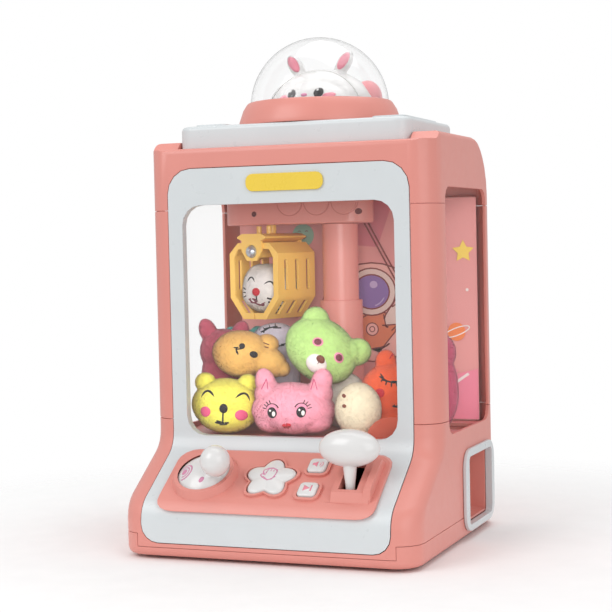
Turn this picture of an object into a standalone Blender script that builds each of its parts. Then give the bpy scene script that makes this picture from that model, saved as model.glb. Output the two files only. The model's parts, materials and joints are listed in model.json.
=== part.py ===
"""Table-top toy claw crane machine, built in metres with +Z up and the front towards -Y.

The shells come first, then the console and its controls, the toy pit, the crane, the lid with its
dome, and last the soft toys. Positions along Y are counted from FRONT, the upper front face.
"""

import math

import bmesh
import bpy
from mathutils import Matrix, Vector

MM = 0.001
GAP = 0.3 * MM            # clearance between pieces that touch
RUNNING = 0.3 * MM        # radial clearance of pins and sliding tubes
PROBE = 5 * MM            # how far a cutter reaches past what it cuts

# casing
WIDTH = 230 * MM
DEPTH = 217.5 * MM
CONSOLE_REACH = 57.5 * MM      # how far the console stands in front of the window
SHOULDER_Z = 302 * MM          # top of the casing under the lid
COLLAR_Z = 308 * MM            # top of the two side collars
WALL = 2.6 * MM
FRONT_RADIUS = 20 * MM         # upright corners in plan
REAR_RADIUS = 16 * MM
TOP_REAR_RADIUS = 45 * MM
TOP_EDGE_RADIUS = 4 * MM
FOOT_HEIGHT = 2 * MM
BOTTOM_EDGE_RADIUS = 5 * MM
TRAY_TOP = 18.5 * MM
TONGUE_Z = 8.75 * MM           # front skirt of the lower housing reaches down to here
TONGUE_HALF = 100 * MM
LOWER_SEAM = 96.2 * MM
UPPER_SEAM = 255.5 * MM
CONSOLE_TOP_Z = 76.5 * MM      # where the console slope would meet the upper front face
CONSOLE_FOOT_Z = 38.5 * MM     # where it would meet the console's front face
CONSOLE_ARC = 20 * MM
COLLAR_STEP = 12.8 * MM        # collars start this far behind the front
COLLAR_SLANT = 7.5 * MM

# front bezel and windows
BEZEL_HALF = 96 * MM
BEZEL_TOP = 286.6 * MM
BEZEL_BOTTOM = 12.5 * MM
BEZEL_TOP_RADIUS = 19 * MM
BEZEL_FOOT_RADIUS = 13 * MM
BEZEL_GAP = 0.6 * MM
VIEW_HALF = 84.4 * MM          # front window opening
VIEW_BOTTOM = 84.4 * MM
VIEW_TOP = 259 * MM
VIEW_RADIUS = 15 * MM
LIP_DEPTH = 7 * MM
LIP_WALL = 2 * MM
PANE = 1.5 * MM
PANE_LAP = 3.2 * MM
SIDE_FRONT = 27.5 * MM         # side window, from FRONT
SIDE_REAR = 140 * MM
SIDE_BOTTOM = 85.4 * MM
SIDE_TOP = 268 * MM
SIDE_RADIUS = 10 * MM
PLATE_HALF = 30.8 * MM         # name plate, left bare
PLATE_HEIGHT = 13 * MM
PLATE_Z = 274.5 * MM
PLATE_THICK = 1.2 * MM

# console controls, in the console's own frame: x across, u up the slope, h out of it
PANEL_HALF = 84 * MM
PANEL_HEIGHT = 3 * MM
PANEL_UNDER = 2.7 * MM
PANEL_TOP_U = -8 * MM
PANEL_FOOT_Z = 36.3 * MM
PANEL_CORNER = 13 * MM
WELL_HALF = 79 * MM            # opening in the bezel under the panel
WELL_TOP_U = -11 * MM
WELL_FOOT_U = -66 * MM
STICK_X = -54.5 * MM
STICK_U = -37.5 * MM
STICK_DEPTH = 15.6 * MM        # gimbal centre under the slope
STICK_DOME = 30 * MM
STICK_LEAN_SIDE = 21.3         # degrees, towards the right
STICK_LEAN_FORE = 9.3          # degrees, towards the front
RING_INNER = 20 * MM
RING_OUTER = 26 * MM
RING_TOP = 8.5 * MM
KNOB_RADIUS = 11 * MM
KNOB_BASE = 31.5 * MM          # distance from the gimbal centre
KNOB_LENGTH = 24 * MM
STAR_X = -2.5 * MM
STAR_U = -38 * MM
STAR_RADIUS = 20 * MM
STAR_WAIST = 0.7               # inner points against outer points
STAR_PLUMP = 1.3               # higher is more pointed
BUTTON_TOP = 7 * MM
COLLAR_WIDTH = 2.2 * MM
COLLAR_TOP = 5 * MM
BUTTON_GAP = 0.5 * MM
BUTTON_TRAVEL = 1.5 * MM
KEY_X = 30.6 * MM
KEY_U = {"volume_button": -24 * MM, "track_button": -49.5 * MM}
KEY_SIDE = 14 * MM
KEY_RADIUS = 3 * MM
BOARD_DEPTH = 13 * MM          # circuit board under the slope
LEVER_X = 61.4 * MM
LEVER_PIVOT_U = -54.8 * MM
LEVER_PIVOT_DEPTH = 10 * MM
LEVER_LENGTH = 39 * MM
LEVER_CHEEK = 2 * MM
LEVER_KNOB = (45.6 * MM, 25 * MM, 27 * MM)
SLOT_HALF = 7 * MM
SLOT_FRONT_U = -50.5 * MM
SLOT_REAR_U = -19 * MM
LEVER_HOUSING_X = (50 * MM, 74.3 * MM)
LEVER_RAIL_X = 79.5 * MM
LEVER_HOUSING_U = (-59 * MM, -16.5 * MM)
HOUSING_TOP = 8 * MM
RAIL_TOP = 10.5 * MM
PIVOT_RADIUS = 2 * MM

# toy pit and prize way out
PIT_Z = 81.6 * MM              # top of the pit floor
PIT_THICK = 2.6 * MM
CARD_Y = 152 * MM
CARD_THICK = 1 * MM
CARD_HALF = 104 * MM
HOLE_X = 40 * MM               # the prize hole runs from here to the side wall
HOLE_Y = (93 * MM, 135 * MM)
CHUTE_WALL = 2 * MM
CHUTE_END = 52 * MM            # height of the chute's floor at its inner end
EXIT_Y = (71 * MM, 137 * MM)
EXIT_Z = (11.5 * MM, 63.6 * MM)
EXIT_FRAME_Y = (61 * MM, 144 * MM)
EXIT_FRAME_Z = (6.5 * MM, 69.6 * MM)
EXIT_PROUD = 2.5 * MM
EXIT_SLEEVE = 1.5 * MM

# crane
COLUMN_Y = 117 * MM
COLUMN_BASE_TOP = 182 * MM
TUBE_RADIUS = 14.5 * MM
COLUMN_SLEEVE = 2.45 * MM         # wall of the base round the tube
TUBE_WALL = 2.5 * MM
TUBE_FOOT = 110 * MM
ARM_Z = (244 * MM, 276 * MM)
ARM_HALF = 17.5 * MM
ARM_REACH = 98 * MM
ARM_TAIL = 28 * MM
ARM_WALL = 2.2 * MM
CLAW_REACH = 60 * MM
CLAW_TURN = -17                # degrees, how the claw hangs turned on its spindle
CLAW_HALF = 25.5 * MM
CLAW_DEPTH = 48 * MM
CLAW_TOP = 237 * MM
CLAW_SHOULDER = 221 * MM
CLAW_WAIST = 185 * MM
CLAW_FOOT = 167.6 * MM
CLAW_FOOT_HALF = 12 * MM
CLAW_SKIN = 2.2 * MM
CLAW_RIM = 5 * MM
JAW_PIVOT_X = 7 * MM
JAW_PIVOT_Z = 227 * MM
JAW_SWING = 20                  # degrees that each jaw opens
ROOF_HALF = 15 * MM
SLOT_WIDTH = 4 * MM              # openings in the jaws' sides and under them
GRATE_WIDTH = 5.4 * MM
PIN_RADIUS = 1.5 * MM
BALL_RADIUS = 5.2 * MM
BALL_Z = 222.6 * MM

# lid and dome
LID_HALF = 93 * MM
LID_FRONT = 12 * MM
LID_REAR = 130 * MM
LID_TOP = 319.5 * MM
LID_RADIUS = 12 * MM
LID_EDGE = 3.5 * MM
LID_WALL = 2.4 * MM
LID_HINGE = (131.5 * MM, 306 * MM)    # from FRONT and from the floor
PAD_X = (59 * MM, 85 * MM)
PAD_Y = (27 * MM, 112 * MM)
PAD_HEIGHT = 2 * MM
DOME_Y = 77 * MM
DOME_RADIUS = 54.2 * MM
DOME_Z = 334.3 * MM            # centre of the dome's sphere
DOME_WALL = 1.5 * MM
RING_SHOULDER = 3.2 * MM          # how far the ring stands out from the dome, from the top down
RING_WAIST = 6 * MM
RING_FOOT = 9 * MM
RABBIT_DOME = 52.7 * MM          # inner dome radius that the rabbit's figures below are drawn for
RABBIT_SINK = 2.8 * MM            # how far the rabbit's middle is under the dome's
DOME_RING_Z = (319.8 * MM, 338 * MM)

# electrics
CELL_RADIUS = 7.1 * MM
CELL_LENGTH = 50 * MM
CELL_PITCH = 15.2 * MM
CELLS = 2
BATTERY_X = -45 * MM
BATTERY_Z = 51 * MM
BOX_WALL = 1.6 * MM
DOOR_MARGIN = 5 * MM
SWITCH_X = 55 * MM
SWITCH_Z = 51 * MM
SPEAKER_RADIUS = 20 * MM

HALF = WIDTH / 2
FRONT = -DEPTH / 2 + CONSOLE_REACH
CONSOLE_FRONT = -DEPTH / 2
BACK = DEPTH / 2
COLUMN_BASE_RADIUS = TUBE_RADIUS + RUNNING + COLUMN_SLEEVE
RING_FOOT_RADIUS = DOME_RADIUS + RING_FOOT
SLOPE = math.atan2(CONSOLE_TOP_Z - CONSOLE_FOOT_Z, CONSOLE_REACH)
# the outlet frame and the joystick's ball stand proud, so the casing sits off the origin by half of that
STICK_PROUD = 4.1 * MM
ORIGIN_SHIFT = Vector((-(EXIT_PROUD + GAP) / 2, STICK_PROUD / 2, 0))

PINK = (0.79, 0.32, 0.27)
WHITE = (0.78, 0.80, 0.80)
YELLOW = (0.86, 0.58, 0.10)
CORNER_STEPS = 4


def clear_scene():
    for obj in list(bpy.data.objects):
        bpy.data.objects.remove(obj)


def collection(name):
    made = bpy.data.collections.new(name)
    bpy.context.scene.collection.children.link(made)
    return made


def material(name, colour, roughness=0.35, metallic=0.0, alpha=1.0):
    made = bpy.data.materials.new(name)
    made.use_nodes = True
    shader = made.node_tree.nodes["Principled BSDF"]
    shader.inputs["Base Color"].default_value = (*colour, 1)
    shader.inputs["Roughness"].default_value = roughness
    shader.inputs["Metallic"].default_value = metallic
    shader.inputs["Alpha"].default_value = alpha
    return made


def add(name, bm, finish=None, parent=None):
    """Turns a bmesh into an object: a part when it has a finish, a cutter when it has none."""
    bmesh.ops.recalc_face_normals(bm, faces=bm.faces)
    mesh = bpy.data.meshes.new(name)
    bm.to_mesh(mesh)
    bm.free()
    return add_mesh(name, mesh, finish, parent)


def add_mesh(name, mesh, finish=None, parent=None):
    obj = bpy.data.objects.new(name, mesh)
    if finish:
        parts.objects.link(obj)
        mesh.materials.append(finish)
    else:
        cutters.objects.link(obj)
        obj.hide_render = True
        obj.display_type = "WIRE"
    obj.parent = parent or machine
    return obj


def empty(name, parent, location, rotation=(0, 0, 0)):
    obj = bpy.data.objects.new(name, None)
    cutters.objects.link(obj)
    obj.parent = parent
    obj.location = location
    obj.rotation_euler = rotation
    return obj


def hang(parent, *objects):
    """Puts finished objects on a joint's empty without moving them."""
    for obj in objects:
        obj.parent = parent
        obj.location = obj.location - parent.location


def boolean(obj, other, operation):
    step = obj.modifiers.new(f"{operation} {other.name}", "BOOLEAN")
    step.object = other
    step.operation = operation
    step.solver = "EXACT"
    return obj


def cut(obj, *others):
    for other in others:
        boolean(obj, other, "DIFFERENCE")
    return obj


def join(obj, *others):
    for other in others:
        boolean(obj, other, "UNION")
    return obj


def keep(obj, other):
    return boolean(obj, other, "INTERSECT")


def box(low, high):
    bm = bmesh.new()
    bmesh.ops.create_cube(bm, size=1)
    low, high = Vector(low), Vector(high)
    size = high - low
    bmesh.ops.transform(bm, matrix=Matrix.Diagonal((*size, 1)), verts=bm.verts)
    bmesh.ops.translate(bm, vec=(low + high) / 2, verts=bm.verts)
    return bm


def arc(centre, radius, start, end, steps):
    """Points along an arc, from start to end in degrees."""
    turn = [math.radians(start + (end - start) * i / steps) for i in range(steps + 1)]
    return [(centre[0] + radius * math.cos(a), centre[1] + radius * math.sin(a)) for a in turn]


def rounded(low, high, radii, steps=CORNER_STEPS):
    """Rectangle with rounded corners; radii run lower left, lower right, upper right, upper left."""
    if not isinstance(radii, (tuple, list)):
        radii = (radii,) * 4
    points = []
    corners = ((low[0], low[1], 1, 1), (high[0], low[1], -1, 1),
               (high[0], high[1], -1, -1), (low[0], high[1], 1, -1))
    for (x, y, sx, sy), radius, start in zip(corners, radii, (180, 270, 0, 90)):
        centre = (x + sx * radius, y + sy * radius)
        points += arc(centre, radius, start, start + 90, steps)
    return points


def prism(outline, axis, low, high):
    """Extrudes an outline along an axis; the outline lies in the plane of the other two axes."""
    place = {"x": lambda a, b: (low, a, b), "y": lambda a, b: (a, low, b), "z": lambda a, b: (a, b, low)}
    move = {"x": (high - low, 0, 0), "y": (0, high - low, 0), "z": (0, 0, high - low)}
    bm = bmesh.new()
    face = bm.faces.new([bm.verts.new(place[axis](*point)) for point in outline])
    grown = bmesh.ops.extrude_face_region(bm, geom=[face])
    top = [v for v in grown["geom"] if isinstance(v, bmesh.types.BMVert)]
    bmesh.ops.translate(bm, vec=move[axis], verts=top)
    return bm


def cylinder(radius, low, high, axis="z", centre=(0, 0), steps=24, top_radius=None):
    """Round bar along an axis; centre is its place in the plane of the other two axes."""
    bm = bmesh.new()
    top = radius if top_radius is None else top_radius
    bmesh.ops.create_cone(bm, cap_ends=True, segments=steps, radius1=radius, radius2=top, depth=high - low)
    turn = {"x": Matrix.Rotation(math.pi / 2, 4, "Y"), "y": Matrix.Rotation(-math.pi / 2, 4, "X"),
            "z": Matrix.Identity(4)}
    bmesh.ops.transform(bm, matrix=turn[axis], verts=bm.verts)
    middle = (low + high) / 2
    where = {"x": (middle, *centre), "y": (centre[0], middle, centre[1]), "z": (*centre, middle)}
    bmesh.ops.translate(bm, vec=where[axis], verts=bm.verts)
    return bm


def ball(radii, centre=(0, 0, 0), columns=12, rows=8):
    bm = bmesh.new()
    bmesh.ops.create_uvsphere(bm, u_segments=columns, v_segments=rows, radius=1)
    bmesh.ops.transform(bm, matrix=Matrix.Diagonal((*radii, 1)), verts=bm.verts)
    bmesh.ops.translate(bm, vec=centre, verts=bm.verts)
    return bm


def turned(name, profile, finish=None, parent=None, closed=True, steps=32):
    """Solid of revolution: profile points (radius, height) run down the outer side first."""
    mesh = bpy.data.meshes.new(name)
    edges = [(i, i + 1) for i in range(len(profile) - 1)]
    if closed:
        edges.append((len(profile) - 1, 0))
    mesh.from_pydata([(r, 0, z) for r, z in profile], edges, [])
    obj = add_mesh(name, mesh, finish, parent)
    screw = obj.modifiers.new("Turn", "SCREW")
    screw.axis = "Z"
    screw.steps = screw.render_steps = steps
    screw.use_merge_vertices = True
    screw.merge_threshold = 0.00001
    return obj


def section(z, inset=0.0, front=FRONT, back=BACK):
    """Plan outline of the casing at height z, drawn in by inset from its outer faces."""
    half = HALF - inset
    fr, rr = FRONT_RADIUS - inset, REAR_RADIUS - inset
    low, high = (-half, front), (half, back - inset)
    return [(x, y, z) for x, y in rounded(low, high, (fr, fr, rr, rr))]


def shell(name, outer, inner, finish, floor=False, roof=False):
    """Wall between two stacks of rings, both from the bottom up, open unless floor or roof is set."""
    bm = bmesh.new()
    stacks = [[[bm.verts.new(p) for p in ring] for ring in rings] for rings in (outer, inner)]
    for rings in stacks:
        for below, above in zip(rings, rings[1:]):
            bridge(bm, below, above)
    for level, closed in ((0, floor), (-1, roof)):
        if closed:
            bm.faces.new(stacks[0][level])
            bm.faces.new(stacks[1][level])
        else:
            bridge(bm, stacks[0][level], stacks[1][level])
    return add(name, bm, finish)


def bridge(bm, ring_a, ring_b):
    count = len(ring_a)
    for i in range(count):
        j = (i + 1) % count
        bm.faces.new((ring_a[i], ring_a[j], ring_b[j], ring_b[i]))


def front_line(inset):
    """The casing's front from the console's foot up to the window, as (y, z), drawn in by inset."""
    slope_turn = math.degrees(SLOPE) + 90
    tangent = CONSOLE_ARC * math.tan((math.pi / 2 - SLOPE) / 2)
    foot = (CONSOLE_FRONT + CONSOLE_ARC, CONSOLE_FOOT_Z - tangent)
    top = (FRONT - CONSOLE_ARC, CONSOLE_TOP_Z + tangent)
    line = arc(foot, CONSOLE_ARC - inset, 180, slope_turn, CORNER_STEPS)
    return line + arc(top, CONSOLE_ARC + inset, slope_turn + 180, 360, CORNER_STEPS)


def rear_y(z, inset=0.0):
    """Back of the casing at height z, where the large radius leads over to the top."""
    centre_z = COLLAR_Z - TOP_REAR_RADIUS
    if z <= centre_z:
        return BACK
    radius = TOP_REAR_RADIUS - inset
    rise = min(z - centre_z, radius)
    return BACK - TOP_REAR_RADIUS + math.sqrt(radius ** 2 - rise ** 2) + inset


def build_tools():
    """Cutters that several shells share."""
    bezel_gap = BEZEL_GAP
    outline = rounded((-BEZEL_HALF - bezel_gap, BEZEL_BOTTOM - bezel_gap),
                      (BEZEL_HALF + bezel_gap, BEZEL_TOP + bezel_gap),
                      (BEZEL_FOOT_RADIUS + bezel_gap,) * 2 + (BEZEL_TOP_RADIUS + bezel_gap,) * 2)
    tools["bezel"] = add("bezel opening", prism(outline, "y", CONSOLE_FRONT - PROBE, FRONT + 2 * WALL))
    outline = rounded((FRONT + SIDE_FRONT, SIDE_BOTTOM), (FRONT + SIDE_REAR, SIDE_TOP), SIDE_RADIUS)
    tools["side"] = add("side window opening", prism(outline, "x", -HALF - PROBE, HALF + PROBE))
    sleeve = EXIT_SLEEVE + 2 * GAP
    outline = rounded((FRONT + EXIT_Y[0] - sleeve, EXIT_Z[0] - sleeve),
                      (FRONT + EXIT_Y[1] + sleeve, EXIT_Z[1] + sleeve), 6 * MM)
    tools["exit"] = add("outlet opening", prism(outline, "x", HALF - 3 * WALL, HALF + PROBE))


def build_tray():
    base = FOOT_HEIGHT
    outer = []
    for turn in (0, 30, 60, 90):
        a = math.radians(turn)
        inset = BOTTOM_EDGE_RADIUS * (1 - math.sin(a))
        z = base + BOTTOM_EDGE_RADIUS * (1 - math.cos(a))
        outer.append(section(z, inset, CONSOLE_FRONT + inset))
    top = TRAY_TOP - GAP / 2
    outer.append(section(top, 0, CONSOLE_FRONT))
    inner_front = CONSOLE_FRONT + WALL
    inner = [section(base + WALL, 2 * WALL, CONSOLE_FRONT + 2 * WALL),
             section(base + 2 * WALL, WALL, inner_front), section(top, WALL, inner_front)]
    tray = shell("base_tray", outer, inner, finishes["pink"], floor=True)
    notch = add("tray notch", box((-TONGUE_HALF, CONSOLE_FRONT - PROBE, TONGUE_Z),
                                  (TONGUE_HALF, CONSOLE_FRONT + WALL + 2 * GAP, TRAY_TOP + PROBE)))
    cut(tray, notch, tools["exit"])
    for side, x in (("left", -1), ("right", 1)):
        for end, y in (("front", -1), ("rear", 1)):
            centre = (x * (HALF - 24 * MM), y * (BACK - 24 * MM))
            foot = cylinder(8 * MM, 0, FOOT_HEIGHT - GAP, centre=centre, steps=20, top_radius=8.6 * MM)
            add(f"foot_{end}_{side}", foot, finishes["rubber"])


def build_lower_housing():
    low, high = TONGUE_Z + GAP, LOWER_SEAM - GAP / 2
    outer = [section(low, 0, CONSOLE_FRONT)]
    inner = [section(low, WALL, CONSOLE_FRONT + WALL)]
    outer += [section(z, 0, y) for y, z in front_line(0)]
    inner += [section(z, WALL, y) for y, z in front_line(WALL)]
    outer.append(section(high))
    inner.append(section(high, WALL, FRONT + WALL))
    housing = shell("lower_housing", outer, inner, finishes["pink"])
    side, back = HALF + PROBE, BACK + PROBE
    tongue = TONGUE_HALF - GAP
    inside = CONSOLE_FRONT + WALL + GAP
    skirt = [(-side, CONSOLE_FRONT - PROBE), (-tongue, CONSOLE_FRONT - PROBE), (-tongue, inside),
             (tongue, inside), (tongue, CONSOLE_FRONT - PROBE), (side, CONSOLE_FRONT - PROBE),
             (side, back), (-side, back)]
    trim = add("skirt trim", prism(skirt, "z", TONGUE_Z - PROBE, TRAY_TOP + GAP / 2))
    door_low, door_high = door_outline()
    door = add("door opening", prism(rounded(grow(door_low, -GAP), grow(door_high, GAP), 4 * MM),
                                     "y", BACK - 2 * WALL, BACK + PROBE))
    slot = rounded((SWITCH_X - 7 * MM, SWITCH_Z - 3 * MM), (SWITCH_X + 7 * MM, SWITCH_Z + 3 * MM), 1 * MM)
    switch = add("switch opening", prism(slot, "y", BACK - 2 * WALL, BACK + PROBE))
    cut(housing, trim, tools["bezel"], tools["side"], tools["exit"], door, switch)


def grow(point, amount):
    return (point[0] + amount, point[1] + amount)


def door_outline():
    half_x = CELL_LENGTH / 2 + BOX_WALL + DOOR_MARGIN
    half_z = CELLS / 2 * CELL_PITCH + BOX_WALL + DOOR_MARGIN
    return (BATTERY_X - half_x, BATTERY_Z - half_z), (BATTERY_X + half_x, BATTERY_Z + half_z)


def build_posts_and_rear():
    low, high = LOWER_SEAM + GAP / 2, UPPER_SEAM - GAP / 2
    reach = FRONT + SIDE_FRONT
    for side, sign in (("left", -1), ("right", 1)):
        outer = [section(low), section(high)]
        inner = [section(low, WALL, FRONT + WALL), section(high, WALL, FRONT + WALL)]
        post = shell(f"front_post_{side}", outer, inner, finishes["pink"])
        edges = sorted((sign * (BEZEL_HALF + BEZEL_GAP), sign * (HALF + PROBE)))
        corner = box((edges[0], FRONT - PROBE, low - PROBE), (edges[1], reach, high + PROBE))
        keep(post, add(f"{side} post corner", corner))
    outer = [section(low), section(high)]
    inner = [section(low, WALL, FRONT + WALL), section(high, WALL, FRONT + WALL)]
    wall = shell("rear_wall", outer, inner, finishes["pink"])
    half = box((-HALF - PROBE, FRONT + SIDE_REAR, low - PROBE), (HALF + PROBE, BACK + PROBE, high + PROBE))
    keep(wall, add("rear half", half))


def build_upper_housing():
    low = UPPER_SEAM + GAP / 2
    ceiling = SHOULDER_Z - WALL
    centre_z = COLLAR_Z - TOP_REAR_RADIUS
    outer = [section(low), section(centre_z)]
    for turn in (15, 30, 42, 52, 61):
        z = centre_z + TOP_REAR_RADIUS * math.sin(math.radians(turn))
        outer.append(section(z, 0, back=rear_y(z)))
    for turn in (0, 30, 60, 90):
        a = math.radians(turn)
        inset = TOP_EDGE_RADIUS * (1 - math.cos(a))
        z = COLLAR_Z - TOP_EDGE_RADIUS * (1 - math.sin(a))
        back = rear_y(min(z, COLLAR_Z - 0.4 * MM))
        outer.append(section(z, inset, FRONT + inset, back + inset))
    inner = [section(low, WALL, FRONT + WALL), section(centre_z, WALL, FRONT + WALL)]
    for turn in (20, 40, 57):
        z = centre_z + (TOP_REAR_RADIUS - WALL) * math.sin(math.radians(turn))
        inner.append(section(z, WALL, FRONT + WALL, rear_y(z, WALL)))
    inner.append(section(ceiling, WALL, FRONT + WALL, rear_y(ceiling, WALL)))
    housing = shell("upper_housing", outer, inner, finishes["pink"], roof=True)

    over = COLLAR_Z + PROBE
    edge = TOP_EDGE_RADIUS
    step = [(FRONT - PROBE, SHOULDER_Z - edge)]
    step += [(y, z) for y, z in arc((FRONT + edge, SHOULDER_Z - edge), edge, 180, 90, 4)]
    step += [(FRONT + COLLAR_STEP, SHOULDER_Z), (FRONT + COLLAR_STEP + COLLAR_SLANT, COLLAR_Z),
             (FRONT + COLLAR_STEP + COLLAR_SLANT, over), (FRONT - PROBE, over)]
    front_step = add("front step", prism(step, "x", -HALF - PROBE, HALF + PROBE))
    well = add("lid well", box((-LID_HALF - 2 * GAP, FRONT + COLLAR_STEP - GAP, SHOULDER_Z),
                               (LID_HALF + 2 * GAP, BACK, over)))
    mouth = rounded((-LID_HALF + 12 * MM, FRONT + LID_FRONT + 14 * MM),
                    (LID_HALF - 12 * MM, FRONT + LID_REAR - 14 * MM), 12 * MM)
    loading = add("loading mouth", prism(mouth, "z", ceiling - PROBE, over))
    cut(housing, front_step, well, loading, tools["bezel"], tools["side"])


def build_bezel():
    outer = [(CONSOLE_FRONT, BEZEL_BOTTOM - PROBE)] + front_line(0) + [(FRONT, BEZEL_TOP + PROBE)]
    inner = [(CONSOLE_FRONT + WALL, BEZEL_BOTTOM - PROBE)] + front_line(WALL)
    inner += [(FRONT + WALL, BEZEL_TOP + PROBE)]
    bezel = add("front_bezel", prism(outer + inner[::-1], "x", -BEZEL_HALF - PROBE, BEZEL_HALF + PROBE),
                finishes["white"])
    face = rounded((-BEZEL_HALF, BEZEL_BOTTOM), (BEZEL_HALF, BEZEL_TOP),
                   (BEZEL_FOOT_RADIUS,) * 2 + (BEZEL_TOP_RADIUS,) * 2)
    keep(bezel, add("bezel outline", prism(face, "y", CONSOLE_FRONT - PROBE, FRONT + PROBE)))
    view_low, view_high = (-VIEW_HALF, VIEW_BOTTOM), (VIEW_HALF, VIEW_TOP)
    lip_low, lip_high = grow(view_low, -LIP_WALL), grow(view_high, LIP_WALL)
    lip = prism(rounded(lip_low, lip_high, VIEW_RADIUS + LIP_WALL), "y", FRONT + WALL / 2, FRONT + LIP_DEPTH)
    join(bezel, add("window lip", lip))
    view = prism(rounded(view_low, view_high, VIEW_RADIUS), "y", FRONT - PROBE, FRONT + LIP_DEPTH + PROBE)
    well = add("control well", box((-WELL_HALF, WELL_FOOT_U, -4 * WALL), (WELL_HALF, WELL_TOP_U, 4 * WALL)),
               parent=console)
    swing = math.sqrt((STICK_DOME + BUTTON_GAP) ** 2 - (STICK_DEPTH - WALL) ** 2)
    sweep = add("stick sweep", cylinder(swing, -4 * WALL, 4 * WALL, steps=32), parent=console)
    sweep.location = (STICK_X, STICK_U, 0)
    cut(bezel, add("window opening", view), well, sweep)

    pane = rounded(grow(view_low, -PANE_LAP + MM), grow(view_high, PANE_LAP), VIEW_RADIUS)
    back = FRONT + LIP_DEPTH + GAP
    add("front_window", prism(pane, "y", back, back + PANE), finishes["clear"])
    plate = rounded((-PLATE_HALF, PLATE_Z - PLATE_HEIGHT / 2), (PLATE_HALF, PLATE_Z + PLATE_HEIGHT / 2),
                    PLATE_HEIGHT / 2 - 1 * MM)
    face_y = FRONT - GAP
    add("title_plate", prism(plate, "y", face_y - PLATE_THICK, face_y), finishes["yellow"])
    outline = rounded((FRONT + SIDE_FRONT - PANE_LAP, SIDE_BOTTOM - PANE_LAP),
                      (FRONT + SIDE_REAR + PANE_LAP, SIDE_TOP + PANE_LAP), SIDE_RADIUS)
    inner_x = HALF - WALL - 2 * GAP - PANE
    for side, low in (("left", -inner_x - PANE), ("right", inner_x)):
        add(f"side_window_{side}", prism(outline, "x", low, low + PANE), finishes["clear"])


def star_outline(radius):
    """Five-pointed star with plump tips and shallow hollows, one tip up the slope."""
    points = []
    for i in range(5):
        for turn in range(-36, 36, 9):
            reach = STAR_WAIST + (1 - STAR_WAIST) * abs(math.cos(math.radians(turn * 2.5))) ** STAR_PLUMP
            a = math.radians(90 + 72 * i + turn)
            points.append((radius * reach * math.cos(a), radius * reach * math.sin(a)))
    return points


def moved(outline, x, y):
    return [(a + x, b + y) for a, b in outline]


def key_outline(extra=0.0):
    side = KEY_SIDE / 2 + extra
    return rounded((-side, -side), (side, side), KEY_RADIUS + extra, 3)


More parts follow.
